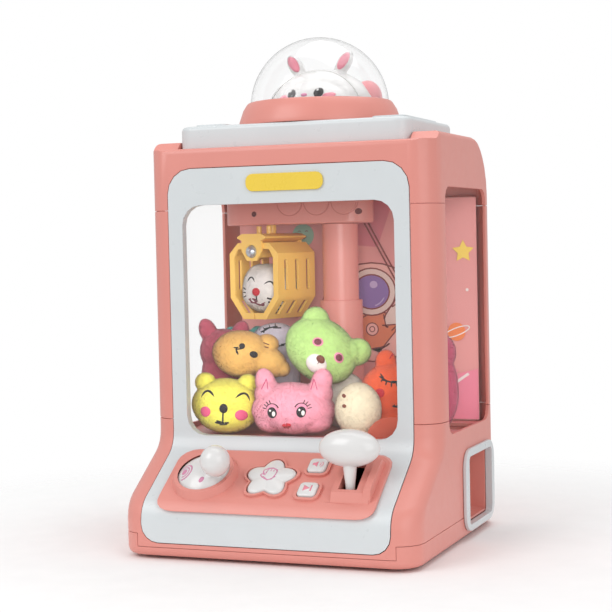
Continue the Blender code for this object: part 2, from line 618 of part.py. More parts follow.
def build_control_panel():
    top = CONSOLE_TOP_Z + PANEL_TOP_U * math.sin(SLOPE) + PANEL_HEIGHT * math.cos(SLOPE)
    foot = PANEL_FOOT_Z
    tail = [(CONSOLE_FRONT - PANEL_HEIGHT, foot - PROBE)]
    line = front_line(-PANEL_HEIGHT)
    under = front_line(-(PANEL_HEIGHT - PANEL_UNDER))
    lower = [(CONSOLE_FRONT - PANEL_HEIGHT + PANEL_UNDER, foot - PROBE)]
    strip = add("control_panel", prism(tail + line + (lower + under)[::-1], "x", -HALF, HALF),
                finishes["pink"])
    # the corners are round on the slope, so they are flattened in front view
    squash = math.sin(SLOPE)
    face = [(x, z * squash) for x, z in rounded((-PANEL_HALF, foot / squash), (PANEL_HALF, top / squash),
                                                PANEL_CORNER)]
    keep(strip, add("panel outline", prism(face, "y", CONSOLE_FRONT - 2 * PROBE, FRONT + PROBE)))

    base = PANEL_HEIGHT - PANEL_UNDER / 2
    ring = add("stick ring", cylinder(RING_OUTER, base, RING_TOP, steps=32, top_radius=RING_OUTER - 3.2 * MM),
               parent=console)
    ring.location = (STICK_X, STICK_U, 0)
    star_collar = moved(star_outline(STAR_RADIUS + BUTTON_GAP + COLLAR_WIDTH), STAR_X, STAR_U)
    raised = [ring, add("star collar", prism(star_collar, "z", base, COLLAR_TOP), parent=console)]
    for name, u in KEY_U.items():
        outline = moved(key_outline(BUTTON_GAP + COLLAR_WIDTH), KEY_X, u)
        raised.append(add(f"{name} collar", prism(outline, "z", base, COLLAR_TOP), parent=console))
    low_u, high_u = LEVER_HOUSING_U
    side = [(low_u, base), (low_u, PANEL_HEIGHT), (low_u + 5.5 * MM, HOUSING_TOP),
            (high_u - 3 * MM, HOUSING_TOP), (high_u, PANEL_HEIGHT), (high_u, base)]
    raised.append(add("lever housing", prism(side, "x", LEVER_HOUSING_X[0], LEVER_RAIL_X - 1 * MM),
                      parent=console))
    rail = [(low_u + 1 * MM, base), (low_u + 1 * MM, PANEL_HEIGHT), (low_u + 6 * MM, RAIL_TOP),
            (high_u - 4 * MM, RAIL_TOP), (high_u + 1 * MM, PANEL_HEIGHT), (high_u + 1 * MM, base)]
    raised.append(add("lever rail", prism(rail, "x", LEVER_HOUSING_X[1], LEVER_RAIL_X), parent=console))
    for side, sign in (("left", -1), ("right", 1)):
        inside = SLOT_HALF + GAP
        near, far = sorted((LEVER_X + sign * inside, LEVER_X + sign * (inside + LEVER_CHEEK)))
        cheek = box((near, LEVER_PIVOT_U - 4 * MM, -LEVER_PIVOT_DEPTH - 4 * MM),
                    (far, LEVER_PIVOT_U + 4 * MM, base))
        raised.append(add(f"{side} lever cheek", cheek, parent=console))
    join(strip, *raised)

    hollow = [(0, RING_TOP + PROBE)] + [(RING_INNER, RING_TOP + PROBE), (RING_INNER, RING_TOP)]
    clear = STICK_DOME + 2 * RUNNING
    for h in (5.5 * MM, 3 * MM, 0, -PROBE):
        hollow.append((math.sqrt(clear ** 2 - (h + STICK_DEPTH) ** 2) + 0.1 * MM, h))
    hollow.append((0, -PROBE))
    stick_well = turned("stick well", hollow, parent=console, closed=False, steps=32)
    stick_well.location = (STICK_X, STICK_U, 0)
    wells = [stick_well]
    wells.append(add("star well", prism(moved(star_outline(STAR_RADIUS + BUTTON_GAP), STAR_X, STAR_U),
                                        "z", -PROBE, COLLAR_TOP + PROBE), parent=console))
    for name, u in KEY_U.items():
        outline = moved(key_outline(BUTTON_GAP), KEY_X, u)
        wells.append(add(f"{name} well", prism(outline, "z", -PROBE, COLLAR_TOP + PROBE), parent=console))
    over = RAIL_TOP + PROBE
    slot = [(SLOT_FRONT_U - 3 * MM, -GAP), (SLOT_FRONT_U - 3 * MM, 1.5 * MM), (SLOT_FRONT_U, HOUSING_TOP),
            (SLOT_FRONT_U, over), (SLOT_REAR_U, over), (SLOT_REAR_U, -GAP)]
    opening = prism(slot, "x", LEVER_X - SLOT_HALF, LEVER_X + SLOT_HALF)
    wells.append(add("lever slot", opening, parent=console))
    pin_place = (LEVER_PIVOT_U, -LEVER_PIVOT_DEPTH)
    pin_hole = cylinder(PIVOT_RADIUS + RUNNING, LEVER_X - 2 * SLOT_HALF, LEVER_X + 2 * SLOT_HALF, "x",
                        pin_place, 16)
    wells.append(add("pin hole", pin_hole, parent=console))
    cut(strip, *wells)


def build_buttons():
    board_top = -BOARD_DEPTH
    stem_foot = board_top + BUTTON_TRAVEL + 0.5 * MM
    outlines = {"star_button": (star_outline(STAR_RADIUS), STAR_X, STAR_U)}
    for name, u in KEY_U.items():
        outlines[name] = (key_outline(), KEY_X, u)
    for name, (outline, x, u) in outlines.items():
        place = empty(f"{name} axis", console, (x, u, 0))
        cap = add(name, prism(outline, "z", -PANEL_HEIGHT, BUTTON_TOP), finishes["white"], place)
        join(cap, add(f"{name} stem", cylinder(3 * MM, stem_foot, 0, steps=12), parent=place))
    reach = rounded((-20 * MM, -62 * MM), (45 * MM, -14 * MM), 2 * MM, 1)
    add("circuit_board", prism(reach, "z", board_top - 1.6 * MM, board_top), finishes["board"], console)


def build_joystick():
    gimbal = empty("gimbal axis", console, (STICK_X, STICK_U, -STICK_DEPTH),
                   (math.radians(STICK_LEAN_FORE), 0, 0))
    stick = empty("stick axis", gimbal, (0, 0, 0), (0, math.radians(STICK_LEAN_SIDE), 0))
    half = 2.5 * MM
    turned("joystick_gimbal", [(17 * MM, half), (17 * MM, -half), (13.5 * MM, -half), (13.5 * MM, half)],
           finishes["dark"], gimbal, steps=24)
    skirt = 70
    wall = 2 * MM
    dome = STICK_DOME
    shank, stem = 3 * MM, 4 * MM
    profile = [(0, KNOB_BASE + 7 * MM), (shank, KNOB_BASE + 7 * MM)]
    start = math.degrees(math.asin(shank / dome))
    turns = [start + (skirt - start) * i / 5 for i in range(6)]
    profile += [(dome * math.sin(math.radians(t)), dome * math.cos(math.radians(t))) for t in turns]
    hollow = dome - wall
    start = math.degrees(math.asin(stem / hollow))
    turns = [skirt + (start - skirt) * i / 4 for i in range(5)]
    profile += [(hollow * math.sin(math.radians(t)), hollow * math.cos(math.radians(t))) for t in turns]
    profile += [(stem, -4 * MM), (0, -4 * MM)]
    turned("joystick_cap", profile, finishes["white"], stick, closed=False, steps=24)
    bore, deep = shank + RUNNING, KNOB_BASE + 7.5 * MM
    top = KNOB_BASE + KNOB_LENGTH
    egg = [(0, top), (0.36, 0.97), (0.7, 0.86), (0.93, 0.68), (1, 0.5), (0.9, 0.32), (0.68, 0.17), (0.5, 0.0)]
    outer = [(0, top)] + [(KNOB_RADIUS * r, KNOB_BASE + KNOB_LENGTH * s) for r, s in egg[1:]]
    turned("joystick_knob", outer + [(bore, KNOB_BASE), (bore, deep), (0, deep)], finishes["white"], stick,
           closed=False, steps=18)


def build_lever():
    # upright at rest: the pivot frame undoes the slope
    pivot = empty("lever axis", console, (LEVER_X, LEVER_PIVOT_U, -LEVER_PIVOT_DEPTH), (-SLOPE, 0, 0))
    bm = box((-3.6 * MM, -2.8 * MM, 0), (3.6 * MM, 2.8 * MM, LEVER_LENGTH))
    upper = [v for v in bm.verts if v.co.z > LEVER_LENGTH / 2]
    bmesh.ops.scale(bm, vec=(1.45, 2.3, 1), verts=upper)
    lever = add("lift_lever", bm, finishes["white"], pivot)
    hub = add("lever hub", cylinder(6 * MM, -5 * MM, 5 * MM, "x", steps=20), parent=pivot)
    reach = SLOT_HALF + GAP + LEVER_CHEEK
    trunnion = add("lever trunnion", cylinder(PIVOT_RADIUS, -reach, reach, "x", steps=16), parent=pivot)
    join(lever, hub, trunnion)
    rx, ry, rz = (size / 2 for size in LEVER_KNOB)
    seat = 7 * MM
    knob = add("lever_knob", ball((rx, ry, rz), (0, 0, LEVER_LENGTH + rz - seat), 18, 10), finishes["white"],
               pivot)
    room = box((-6 * MM, -7.3 * MM, LEVER_LENGTH - 2 * PROBE), (6 * MM, 7.3 * MM, LEVER_LENGTH + GAP))
    cut(knob, add("knob socket", room, parent=pivot))


def build_pit():
    inset = WALL + 0.5 * MM
    low, high = PIT_Z - PIT_THICK, PIT_Z
    plan = [(x, y) for x, y, _ in section(0, inset, FRONT + inset)]
    floor = add("pit_floor", prism(plan, "z", low, high), finishes["pink"])
    hole = rounded((HOLE_X, FRONT + HOLE_Y[0]), (HALF, FRONT + HOLE_Y[1]), 1 * MM, 1)
    cut(floor, add("prize hole", prism(hole, "z", low - PROBE, high + PROBE)))
    shaft = cylinder(TUBE_RADIUS + 2 * RUNNING, low - PROBE, high + PROBE, centre=(0, FRONT + COLUMN_Y),
                     steps=28)
    cut(floor, add("shaft hole", shaft))

    card_low = (-CARD_HALF, PIT_Z + GAP)
    card = rounded(card_low, (CARD_HALF, SIDE_TOP - 5 * MM), 1 * MM, 1)
    add("backdrop_card", prism(card, "y", FRONT + CARD_Y, FRONT + CARD_Y + CARD_THICK), finishes["card"])

    inner_x, end = HOLE_X - 2 * MM, HALF - WALL - 2 * GAP
    top = low - GAP
    y0, y1 = FRONT + EXIT_Y[0], FRONT + EXIT_Y[1]
    wall = CHUTE_WALL
    sill = EXIT_Z[0] + wall
    body = [(inner_x - wall, top), (inner_x - wall, CHUTE_END - wall), (end - 12 * MM, sill - wall),
            (end, sill - wall), (end, top)]
    space = [(inner_x, top + PROBE), (inner_x, CHUTE_END), (end - 12 * MM, sill), (end + PROBE, sill),
             (end + PROBE, top + PROBE)]
    chute = add("prize_chute", prism(body, "y", y0 - wall, y1 + wall), finishes["pink"])
    cut(chute, add("chute space", prism(space, "y", y0, y1)))

    outline = rounded((FRONT + EXIT_FRAME_Y[0], EXIT_FRAME_Z[0]), (FRONT + EXIT_FRAME_Y[1], EXIT_FRAME_Z[1]),
                      14 * MM)
    frame = add("outlet_frame", prism(outline, "x", HALF + GAP, HALF + GAP + EXIT_PROUD), finishes["white"])
    sleeve_low = (y0 - EXIT_SLEEVE, EXIT_Z[0] - EXIT_SLEEVE)
    sleeve_high = (y1 + EXIT_SLEEVE, EXIT_Z[1] + EXIT_SLEEVE)
    sleeve = rounded(sleeve_low, sleeve_high, 5 * MM)
    join(frame, add("outlet sleeve", prism(sleeve, "x", end + GAP, HALF + GAP + EXIT_PROUD / 2)))
    way = rounded((y0, EXIT_Z[0]), (y1, EXIT_Z[1]), 4 * MM)
    cut(frame, add("outlet way", prism(way, "x", end - PROBE, HALF + 2 * PROBE)))

    # low curved guard in the front right corner of the pit
    guard_y = FRONT + LIP_DEPTH + PANE + 2 * MM
    outer = arc((74 * MM, PIT_Z + GAP), 18 * MM, 180, 90, 5) + [(100 * MM, PIT_Z + GAP + 19 * MM)]
    guard = outer + [(100 * MM, PIT_Z + GAP)]
    add("pit_guard", prism(guard, "y", guard_y, guard_y + 1.6 * MM), finishes["amber"])


def build_crane():
    foot = empty("column axis", machine, (0, FRONT + COLUMN_Y, 0))
    bore = TUBE_RADIUS + RUNNING
    base_low = PIT_Z + GAP
    flange = COLUMN_BASE_RADIUS + 4 * MM
    profile = [(COLUMN_BASE_RADIUS, COLUMN_BASE_TOP), (COLUMN_BASE_RADIUS, base_low + 3 * MM),
               (flange, base_low + 3 * MM), (flange, base_low), (bore, base_low), (bore, COLUMN_BASE_TOP)]
    turned("column_base", profile, finishes["pink"], foot, steps=28)
    inner = TUBE_RADIUS - TUBE_WALL
    tube_top = ARM_Z[0] - GAP
    profile = [(TUBE_RADIUS, tube_top), (TUBE_RADIUS, TUBE_FOOT), (inner, TUBE_FOOT), (inner, tube_top)]
    turned("column_tube", profile, finishes["pink"], foot, steps=28)

    arm = empty("arm axis", foot, (0, 0, 0))
    low, high = ARM_Z
    split = high - 3 * MM
    plan = rounded((-ARM_REACH, -ARM_HALF), (ARM_TAIL, ARM_HALF), ARM_HALF - 0.1 * MM, 6)
    body = add("arm_housing", prism(plan, "z", low, split - GAP / 2), finishes["pink"], arm)
    inset = ARM_WALL
    inside = rounded((-ARM_REACH + inset, -ARM_HALF + inset), (ARM_TAIL - inset, ARM_HALF - inset),
                     ARM_HALF - inset - 0.1 * MM, 6)
    cut(body, add("arm inside", prism(inside, "z", low + inset, split + PROBE), parent=arm))
    peg = cylinder(inner - RUNNING, low - 12 * MM, low + inset / 2, steps=20)
    spigot = add("arm spigot", peg, parent=arm)
    join(body, spigot)
    # three round covers of the drive wheels stand out of the front, with a screw hole near each end
    for n, x in enumerate((-36.6 * MM, -13.4 * MM, 10 * MM)):
        face = -ARM_HALF
        cover = cylinder(10.5 * MM, face - 0.8 * MM, face + 1 * MM, "y", (x, high - 14.2 * MM), 20)
        join(body, add(f"wheel cover {n + 1}", cover, parent=arm))
    for n, x in enumerate((-68 * MM, 21 * MM)):
        hole = cylinder(2.2 * MM, -2 * ARM_HALF, -ARM_HALF + 1.4 * MM, "y", (x, low + 9 * MM), 14)
        cut(body, add(f"screw recess {n + 1}", hole, parent=arm))
    socket = cylinder(4 * MM + RUNNING, low - PROBE, low + 2 * PROBE, centre=(-CLAW_REACH, 0), steps=20)
    cut(body, add("spindle socket", socket, parent=arm))
    add("arm_cover", prism(plan, "z", split + GAP / 2, high), finishes["pink"], arm)
    build_claw(arm)


def jaw_outline(skin):
    """Right half of the claw's outer skin, drawn in by skin, from its pivot round to the foot."""
    lean = CLAW_WAIST - CLAW_FOOT
    run = CLAW_HALF - CLAW_FOOT_HALF
    length = math.hypot(lean, run)
    shift = skin * math.tan(math.atan2(run, lean) / 2)
    foot_x = CLAW_FOOT_HALF - skin * math.tan(math.atan2(lean, run) / 2)
    return [(JAW_PIVOT_X, JAW_PIVOT_Z + 2.6 * MM - skin), (CLAW_HALF - 9 * MM, JAW_PIVOT_Z + 2.6 * MM - skin),
            (CLAW_HALF - skin, CLAW_SHOULDER - skin * run / length), (CLAW_HALF - skin, CLAW_WAIST + shift),
            (foot_x, CLAW_FOOT + skin), (0.4 * MM, CLAW_FOOT + skin)]


def build_claw(arm):
    claw = empty("claw axis", arm, (-CLAW_REACH, 0, 0), (0, 0, math.radians(CLAW_TURN)))
    half = CLAW_DEPTH / 2
    skin = CLAW_SKIN
    for side, sign in (("left", -1), ("right", 1)):
        pivot = empty(f"{side} jaw axis", claw, (sign * JAW_PIVOT_X, 0, JAW_PIVOT_Z))
        outline = jaw_outline(0) + jaw_outline(skin)[::-1]
        outline = [(sign * (x - JAW_PIVOT_X), z - JAW_PIVOT_Z) for x, z in outline]
        jaw = add(f"jaw_{side}", prism(outline, "y", -half, half), finishes["claw"], pivot)
        rim = jaw_outline(0) + jaw_outline(CLAW_RIM)[::-1]
        rim = [(sign * (x - JAW_PIVOT_X), z - JAW_PIVOT_Z) for x, z in rim]
        join(jaw, add(f"{side} jaw rim", prism(rim, "y", -half, -half + 2 * MM), parent=pivot))
        barrel = cylinder(3 * MM, -half, half, "y", steps=14)
        join(jaw, add(f"{side} jaw barrel", barrel, parent=pivot))
        bore = cylinder(PIN_RADIUS + RUNNING, -half - PROBE, half + PROBE, "y", steps=12)
        cuts = [add(f"{side} jaw bore", bore, parent=pivot)]
        for n, y in enumerate((-13.5 * MM, 0.5 * MM, 14.5 * MM)):
            x = sign * (CLAW_HALF - JAW_PIVOT_X)
            near, far = sorted((x - sign * 2 * skin, x + sign * PROBE))
            window = rounded((y - SLOT_WIDTH / 2, CLAW_WAIST + 6 * MM - JAW_PIVOT_Z),
                             (y + SLOT_WIDTH / 2, CLAW_SHOULDER - 5 * MM - JAW_PIVOT_Z), 1.4 * MM, 2)
            cuts.append(add(f"{side} jaw slot {n + 1}", prism(window, "x", near, far), parent=pivot))
            low, high = CLAW_FOOT + 4 * MM - JAW_PIVOT_Z, CLAW_WAIST - 3 * MM - JAW_PIVOT_Z
            near, far = sorted((sign * 4 * MM, sign * (CLAW_HALF + PROBE)))
            grate = box((near, y - GRATE_WIDTH / 2, low), (far, y + GRATE_WIDTH / 2, high))
            cuts.append(add(f"{side} jaw grate {n + 1}", grate, parent=pivot))
        cut(jaw, *cuts)

    roof_low = JAW_PIVOT_Z + 2.6 * MM + 2 * GAP
    eaves = roof_low + (ROOF_HALF - JAW_PIVOT_X) * math.tan(math.radians(JAW_SWING)) + GAP
    roof = [(-ROOF_HALF, eaves), (-JAW_PIVOT_X, roof_low), (JAW_PIVOT_X, roof_low), (ROOF_HALF, eaves),
            (ROOF_HALF, eaves + 1.2 * MM), (ROOF_HALF - 5 * MM, CLAW_TOP), (-ROOF_HALF + 5 * MM, CLAW_TOP),
            (-ROOF_HALF, eaves + 1.2 * MM)]
    end = half + GAP
    cheek = 2 * MM
    hub = add("claw_hub", prism(roof, "y", -end - cheek, end + cheek), finishes["claw"], claw)
    web = box((-2.5 * MM, -end - cheek / 2, BALL_Z - 5 * MM), (2.5 * MM, end + cheek / 2, roof_low + 1 * MM))
    pieces = [add("hub web", web, parent=claw)]
    plate = [(-10.5 * MM, roof_low + 1 * MM), (-10.5 * MM, 223 * MM), (-5 * MM, 215 * MM), (5 * MM, 215 * MM),
             (10.5 * MM, 223 * MM), (10.5 * MM, roof_low + 1 * MM)]
    for place, y in (("front", -end - cheek), ("rear", end)):
        pieces.append(add(f"{place} cheek", prism(plate, "y", y, y + cheek), parent=claw))
    pieces.append(add("claw spindle", cylinder(4 * MM, CLAW_TOP - 1 * MM, ARM_Z[0] + 6 * MM, steps=18),
                      parent=claw))
    for n, x in enumerate((-5 * MM, 5.6 * MM)):
        post = cylinder(2.2 * MM, CLAW_TOP - 1 * MM, ARM_Z[0] - 1 * MM, centre=(x, -10 * MM), steps=12)
        pieces.append(add(f"hub post {n + 1}", post, parent=claw))
    for side, sign in (("left", -1), ("right", 1)):
        pin = cylinder(PIN_RADIUS, -end - cheek / 2, end + cheek / 2, "y",
                       (sign * JAW_PIVOT_X, JAW_PIVOT_Z), 12)
        pieces.append(add(f"{side} jaw pin", pin, parent=claw))
    join(hub, *pieces)
    seat = ball((BALL_RADIUS + GAP,) * 3, (0, -end - cheek / 2, BALL_Z), 14, 8)
    cut(hub, add("ball seat", seat, parent=claw))
    add("steel_ball", ball((BALL_RADIUS,) * 3, (0, -end - cheek / 2, BALL_Z), 14, 8), finishes["steel"], claw)
    cat = ball((21.3 * MM, 20.5 * MM, 20.3 * MM), (0, -3 * MM, 191.6 * MM), 12, 8)
    add("toy_white_cat", cat, finishes["plush"], claw)


def build_lid():
    hinge = empty("lid axis", machine, (0, FRONT + LID_HINGE[0], LID_HINGE[1]))
    low = SHOULDER_Z + GAP
    front, rear = FRONT + LID_FRONT, FRONT + LID_REAR

    def plan(inset, z):
        corner = LID_RADIUS - inset
        low, high = (-LID_HALF + inset, front + inset), (LID_HALF - inset, rear - inset)
        return [(x, y, z) for x, y in rounded(low, high, corner)]

    outer = [plan(0, low)]
    for turn in (0, 30, 60, 90):
        a = math.radians(turn)
        outer.append(plan(LID_EDGE * (1 - math.cos(a)), LID_TOP - LID_EDGE * (1 - math.sin(a))))
    inner = [plan(LID_WALL, low), plan(LID_WALL, LID_TOP - LID_EDGE), plan(LID_EDGE, LID_TOP - LID_WALL)]
    lid = shell("top_lid", outer, inner, finishes["white"], roof=True)
    for side, sign in (("left", -1), ("right", 1)):
        x0, x1 = sorted((sign * PAD_X[0], sign * PAD_X[1]))
        pad = prism(rounded((x0, FRONT + PAD_Y[0]), (x1, FRONT + PAD_Y[1]), 5 * MM), "z", LID_TOP - 1 * MM,
                    LID_TOP + PAD_HEIGHT)
        raised = add(f"{side} lid pad", pad)
        ring_room = cylinder(RING_FOOT_RADIUS + 2 * MM, LID_TOP, LID_TOP + PROBE,
                             centre=(0, FRONT + DOME_Y), steps=36)
        cut(raised, add(f"{side} pad relief", ring_room))
        join(lid, raised)
    dome = empty("dome axis", machine, (0, FRONT + DOME_Y, 0))
    ring_low, ring_high = DOME_RING_Z
    skirt = DOME_RADIUS + 2 * GAP
    profile = [(DOME_RADIUS + RING_SHOULDER / 2, ring_high),
               (DOME_RADIUS + RING_SHOULDER, ring_high - RING_SHOULDER / 2),
               (DOME_RADIUS + RING_WAIST, ring_high - RING_WAIST), (RING_FOOT_RADIUS, ring_high - 14.5 * MM),
               (RING_FOOT_RADIUS, ring_low), (skirt, ring_low), (skirt, ring_high)]
    turned("dome_ring", profile, finishes["pink"], dome, steps=36)
    inner = DOME_RADIUS - DOME_WALL

    def bow(radius):
        turns = [math.radians(t) for t in (75, 60, 45, 30, 15, 0)]
        return [(radius * math.cos(t), DOME_Z + radius * math.sin(t)) for t in turns] + [(radius, ring_low)]

    outline = [(0, DOME_Z + DOME_RADIUS)] + bow(DOME_RADIUS) + bow(inner)[::-1] + [(0, DOME_Z + inner)]
    turned("clear_dome", outline, finishes["clear"], dome, closed=False, steps=32)
    fit = inner / RABBIT_DOME * MM
    middle = DOME_Z - RABBIT_SINK * inner / RABBIT_DOME

    def lump(radii, y, rise, columns, rows):
        return ball([r * fit for r in radii], (0, y * fit, middle + rise * fit), columns, rows)

    head = add("dome_rabbit", lump((46, 28, 36.7), 3, -3.5, 18, 10), finishes["white"], dome)
    low = LID_TOP + GAP
    trim = add("rabbit stand", box((-80 * MM, -80 * MM, 200 * MM), (80 * MM, 80 * MM, low)), parent=dome)
    pieces = [add("rabbit face", lump((34, 30, 28), -1, -1.5, 16, 8), parent=dome)]
    for side, sign in (("left", -1), ("right", 1)):
        ear = add(f"{side} rabbit ear", ball((7 * fit, 4.5 * fit, 13 * fit), (0, 0, 0), 10, 6), parent=dome)
        ear.location = (sign * 21 * fit, 2 * fit, middle + 33.5 * fit)
        ear.rotation_euler = (0, math.radians(sign * 12), 0)
        pieces.append(ear)
    cut(join(head, *pieces), trim)
    hang(hinge, lid, dome)


def build_electrics():
    low, high = door_outline()
    door = rounded(low, high, 4 * MM)
    cover = add("battery_door", prism(door, "y", BACK - WALL, BACK), finishes["pink"])
    hang(empty("door axis", machine, (BATTERY_X, BACK, high[1])), cover)
    door_back = BACK - WALL - GAP
    depth = 2 * CELL_RADIUS + BOX_WALL + 1 * MM
    half_x = CELL_LENGTH / 2 + GAP
    half_z = CELLS / 2 * CELL_PITCH
    outer = box((BATTERY_X - half_x - BOX_WALL, door_back - depth, BATTERY_Z - half_z - BOX_WALL),
                (BATTERY_X + half_x + BOX_WALL, door_back, BATTERY_Z + half_z + BOX_WALL))
    tray = add("battery_box", outer, finishes["dark"])
    inside = box((BATTERY_X - half_x, door_back - depth + BOX_WALL, BATTERY_Z - half_z),
                 (BATTERY_X + half_x, door_back + PROBE, BATTERY_Z + half_z))
    cut(tray, add("battery space", inside))
    for n in range(CELLS):
        z = BATTERY_Z + (n - (CELLS - 1) / 2) * CELL_PITCH
        y = door_back - depth + BOX_WALL + CELL_RADIUS + GAP
        ends = BATTERY_X - CELL_LENGTH / 2, BATTERY_X + CELL_LENGTH / 2
        cell = cylinder(CELL_RADIUS, *ends, "x", (y, z), 18)
        add(f"battery_{n + 1}", cell, finishes["cell"])
    knob = box((SWITCH_X - 4.5 * MM, BACK - 2 * WALL, SWITCH_Z - 2.5 * MM),
               (SWITCH_X - 0.5 * MM, BACK - 0.2 * MM, SWITCH_Z + 2.5 * MM))
    add("power_switch", knob, finishes["dark"])
    cone = [(SPEAKER_RADIUS, 18 * MM), (SPEAKER_RADIUS, 15 * MM), (10 * MM, 9.5 * MM), (10 * MM, 5.2 * MM),
            (0, 5.2 * MM)]
    cone = [(0, 10 * MM), (5 * MM, 11 * MM), (SPEAKER_RADIUS - 2 * MM, 18 * MM)] + cone
    seat = empty("speaker axis", machine, (-60 * MM, CONSOLE_FRONT + 40 * MM, 0))
    turned("speaker", cone, finishes["dark"], seat, closed=False, steps=28)


def toy(name, centre, radii, turn=(0, 0, 0)):
    """Plain soft body of one toy: centre from FRONT and the floor, radii and turns in its own axes."""
    obj = add(name, ball([r * MM for r in radii]), finishes["plush"])
    obj.location = (centre[0] * MM, FRONT + centre[1] * MM, centre[2] * MM)
    obj.rotation_euler = [math.radians(t) for t in turn]


def build_toys():
    toy("toy_yellow_bear", (-66, 33, 105.6), (25, 21, 23.5))
    toy("toy_pink_cat", (-9, 34, 106.4), (30, 22, 24.3))
    toy("toy_cream_mouse", (44, 28.5, 103), (17.5, 16, 20.8))
    toy("toy_orange_fox", (60, 60, 113.8), (22, 18, 31.5))
    toy("toy_mustard_dog", (-52, 52, 142), (27, 17, 17.5), (0, 10, 0))
    toy("toy_green_bear", (8, 58, 145), (31, 21, 22), (0, 30, 0))
    toy("toy_rose_owl", (-88, 78, 125), (19, 19, 43))
    toy("toy_lilac_lamb", (-52, 99, 123.7), (20, 18.5, 41.7))
    toy("toy_teal_bear", (-86, 116, 120.5), (19, 18, 38.5))
    toy("toy_white_lamb", (10, 84, 104.5), (22, 14, 22.3))
    toy("toy_plum_mouse", (91, 79, 120.4), (16, 12, 38))


clear_scene()
parts = collection("claw crane machine")
cutters = collection("cutters")
tools = {}
finishes = {
    "pink": material("pink plastic", PINK),
    "white": material("white plastic", WHITE, 0.3),
    "clear": material("clear plastic", (0.95, 0.97, 0.97), 0.05, 0, 0.25),
    "yellow": material("yellow plate", YELLOW, 0.3),
    "claw": material("claw plastic", (0.90, 0.55, 0.10), 0.4),
    "steel": material("polished steel", (0.7, 0.7, 0.72), 0.12, 1),
    "rubber": material("foot rubber", (0.03, 0.03, 0.03), 0.9),
    "dark": material("dark plastic", (0.04, 0.04, 0.05), 0.5),
    "board": material("circuit board", (0.02, 0.16, 0.07), 0.5),
    "cell": material("battery jacket", (0.06, 0.10, 0.30), 0.4, 0.4),
    "card": material("printed card", (0.45, 0.30, 0.30), 0.6),
    "amber": material("amber guard", (0.80, 0.25, 0.14), 0.2, 0, 0.7),
    "plush": material("plush", (0.80, 0.60, 0.50), 0.95),
}
machine = bpy.data.objects.new("machine", None)
cutters.objects.link(machine)
machine.location = ORIGIN_SHIFT
# the console frame: x across, y up the slope, z out of it
console = empty("console", machine, (0, FRONT, CONSOLE_TOP_Z), (SLOPE, 0, 0))

build_tools()
build_tray()
build_lower_housing()
build_posts_and_rear()
build_upper_housing()
build_bezel()
build_control_panel()
build_buttons()
build_joystick()
build_lever()
build_pit()
build_crane()
build_lid()
build_electrics()
build_toys()
bpy.context.view_layer.update()
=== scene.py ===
import json
import math

import bmesh
import bpy
import numpy as np
from mathutils import Euler, Matrix, Vector, noise
from mathutils.bvhtree import BVHTree
from mathutils.geometry import tessellate_polygon

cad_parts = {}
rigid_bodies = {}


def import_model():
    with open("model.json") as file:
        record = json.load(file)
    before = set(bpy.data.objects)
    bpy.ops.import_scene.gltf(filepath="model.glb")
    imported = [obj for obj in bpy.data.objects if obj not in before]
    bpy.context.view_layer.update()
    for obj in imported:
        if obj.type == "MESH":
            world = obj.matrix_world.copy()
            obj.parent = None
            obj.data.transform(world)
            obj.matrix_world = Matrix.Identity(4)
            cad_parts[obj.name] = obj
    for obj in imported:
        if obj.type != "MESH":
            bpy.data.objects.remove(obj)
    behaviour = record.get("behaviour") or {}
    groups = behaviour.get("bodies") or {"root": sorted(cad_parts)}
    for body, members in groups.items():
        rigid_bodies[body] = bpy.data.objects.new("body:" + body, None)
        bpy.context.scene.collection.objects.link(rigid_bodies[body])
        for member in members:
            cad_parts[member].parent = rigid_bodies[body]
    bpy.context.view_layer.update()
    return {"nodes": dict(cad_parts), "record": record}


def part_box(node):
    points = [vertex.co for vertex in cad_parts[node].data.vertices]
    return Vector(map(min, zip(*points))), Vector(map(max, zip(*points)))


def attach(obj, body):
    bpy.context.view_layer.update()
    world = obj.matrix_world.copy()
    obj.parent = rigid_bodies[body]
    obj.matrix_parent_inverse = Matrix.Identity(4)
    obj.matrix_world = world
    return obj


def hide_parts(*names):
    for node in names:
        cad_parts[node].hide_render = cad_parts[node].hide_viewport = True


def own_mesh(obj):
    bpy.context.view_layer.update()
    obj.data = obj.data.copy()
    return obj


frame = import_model()
mm = 0.001

# The casing's middle and its upper front face are where all places are counted from.
rearLow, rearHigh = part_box("rear_wall")
postLow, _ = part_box("front_post_left")
middle = (rearLow.x + rearHigh.x) / 2
front = postLow.y


def place(x, y, z):
    return Vector((middle + x * mm, front + y * mm, z * mm))


consoleSlope = math.atan2(38, 57.5)
consoleFrame = Matrix.Translation(place(0, 0, 76.5)) @ Matrix.Rotation(consoleSlope, 4, "X")


def nodeGroup(name, inputs, outputs):
    tree = bpy.data.node_groups.new(name, "ShaderNodeTree")
    for label, kind in inputs.items():
        tree.interface.new_socket(label, in_out="INPUT", socket_type="NodeSocket" + kind)
    for label, kind in outputs.items():
        tree.interface.new_socket(label, in_out="OUTPUT", socket_type="NodeSocket" + kind)
    return tree, tree.nodes.new("NodeGroupInput"), tree.nodes.new("NodeGroupOutput")


def noiseNode(tree, scale, detail=3.0):
    where = tree.nodes.new("ShaderNodeTexCoord")
    grain = tree.nodes.new("ShaderNodeTexNoise")
    grain.inputs["Scale"].default_value = scale
    grain.inputs["Detail"].default_value = detail
    tree.links.new(where.outputs["Object"], grain.inputs["Vector"])
    return grain.outputs["Fac"]


def mapped(tree, value, low, high):
    spread = tree.nodes.new("ShaderNodeMapRange")
    spread.inputs["From Min"].default_value = 0.3
    spread.inputs["From Max"].default_value = 0.7
    spread.inputs["To Min"].default_value = low
    spread.inputs["To Max"].default_value = high
    tree.links.new(value, spread.inputs["Value"])
    return spread.outputs["Result"]


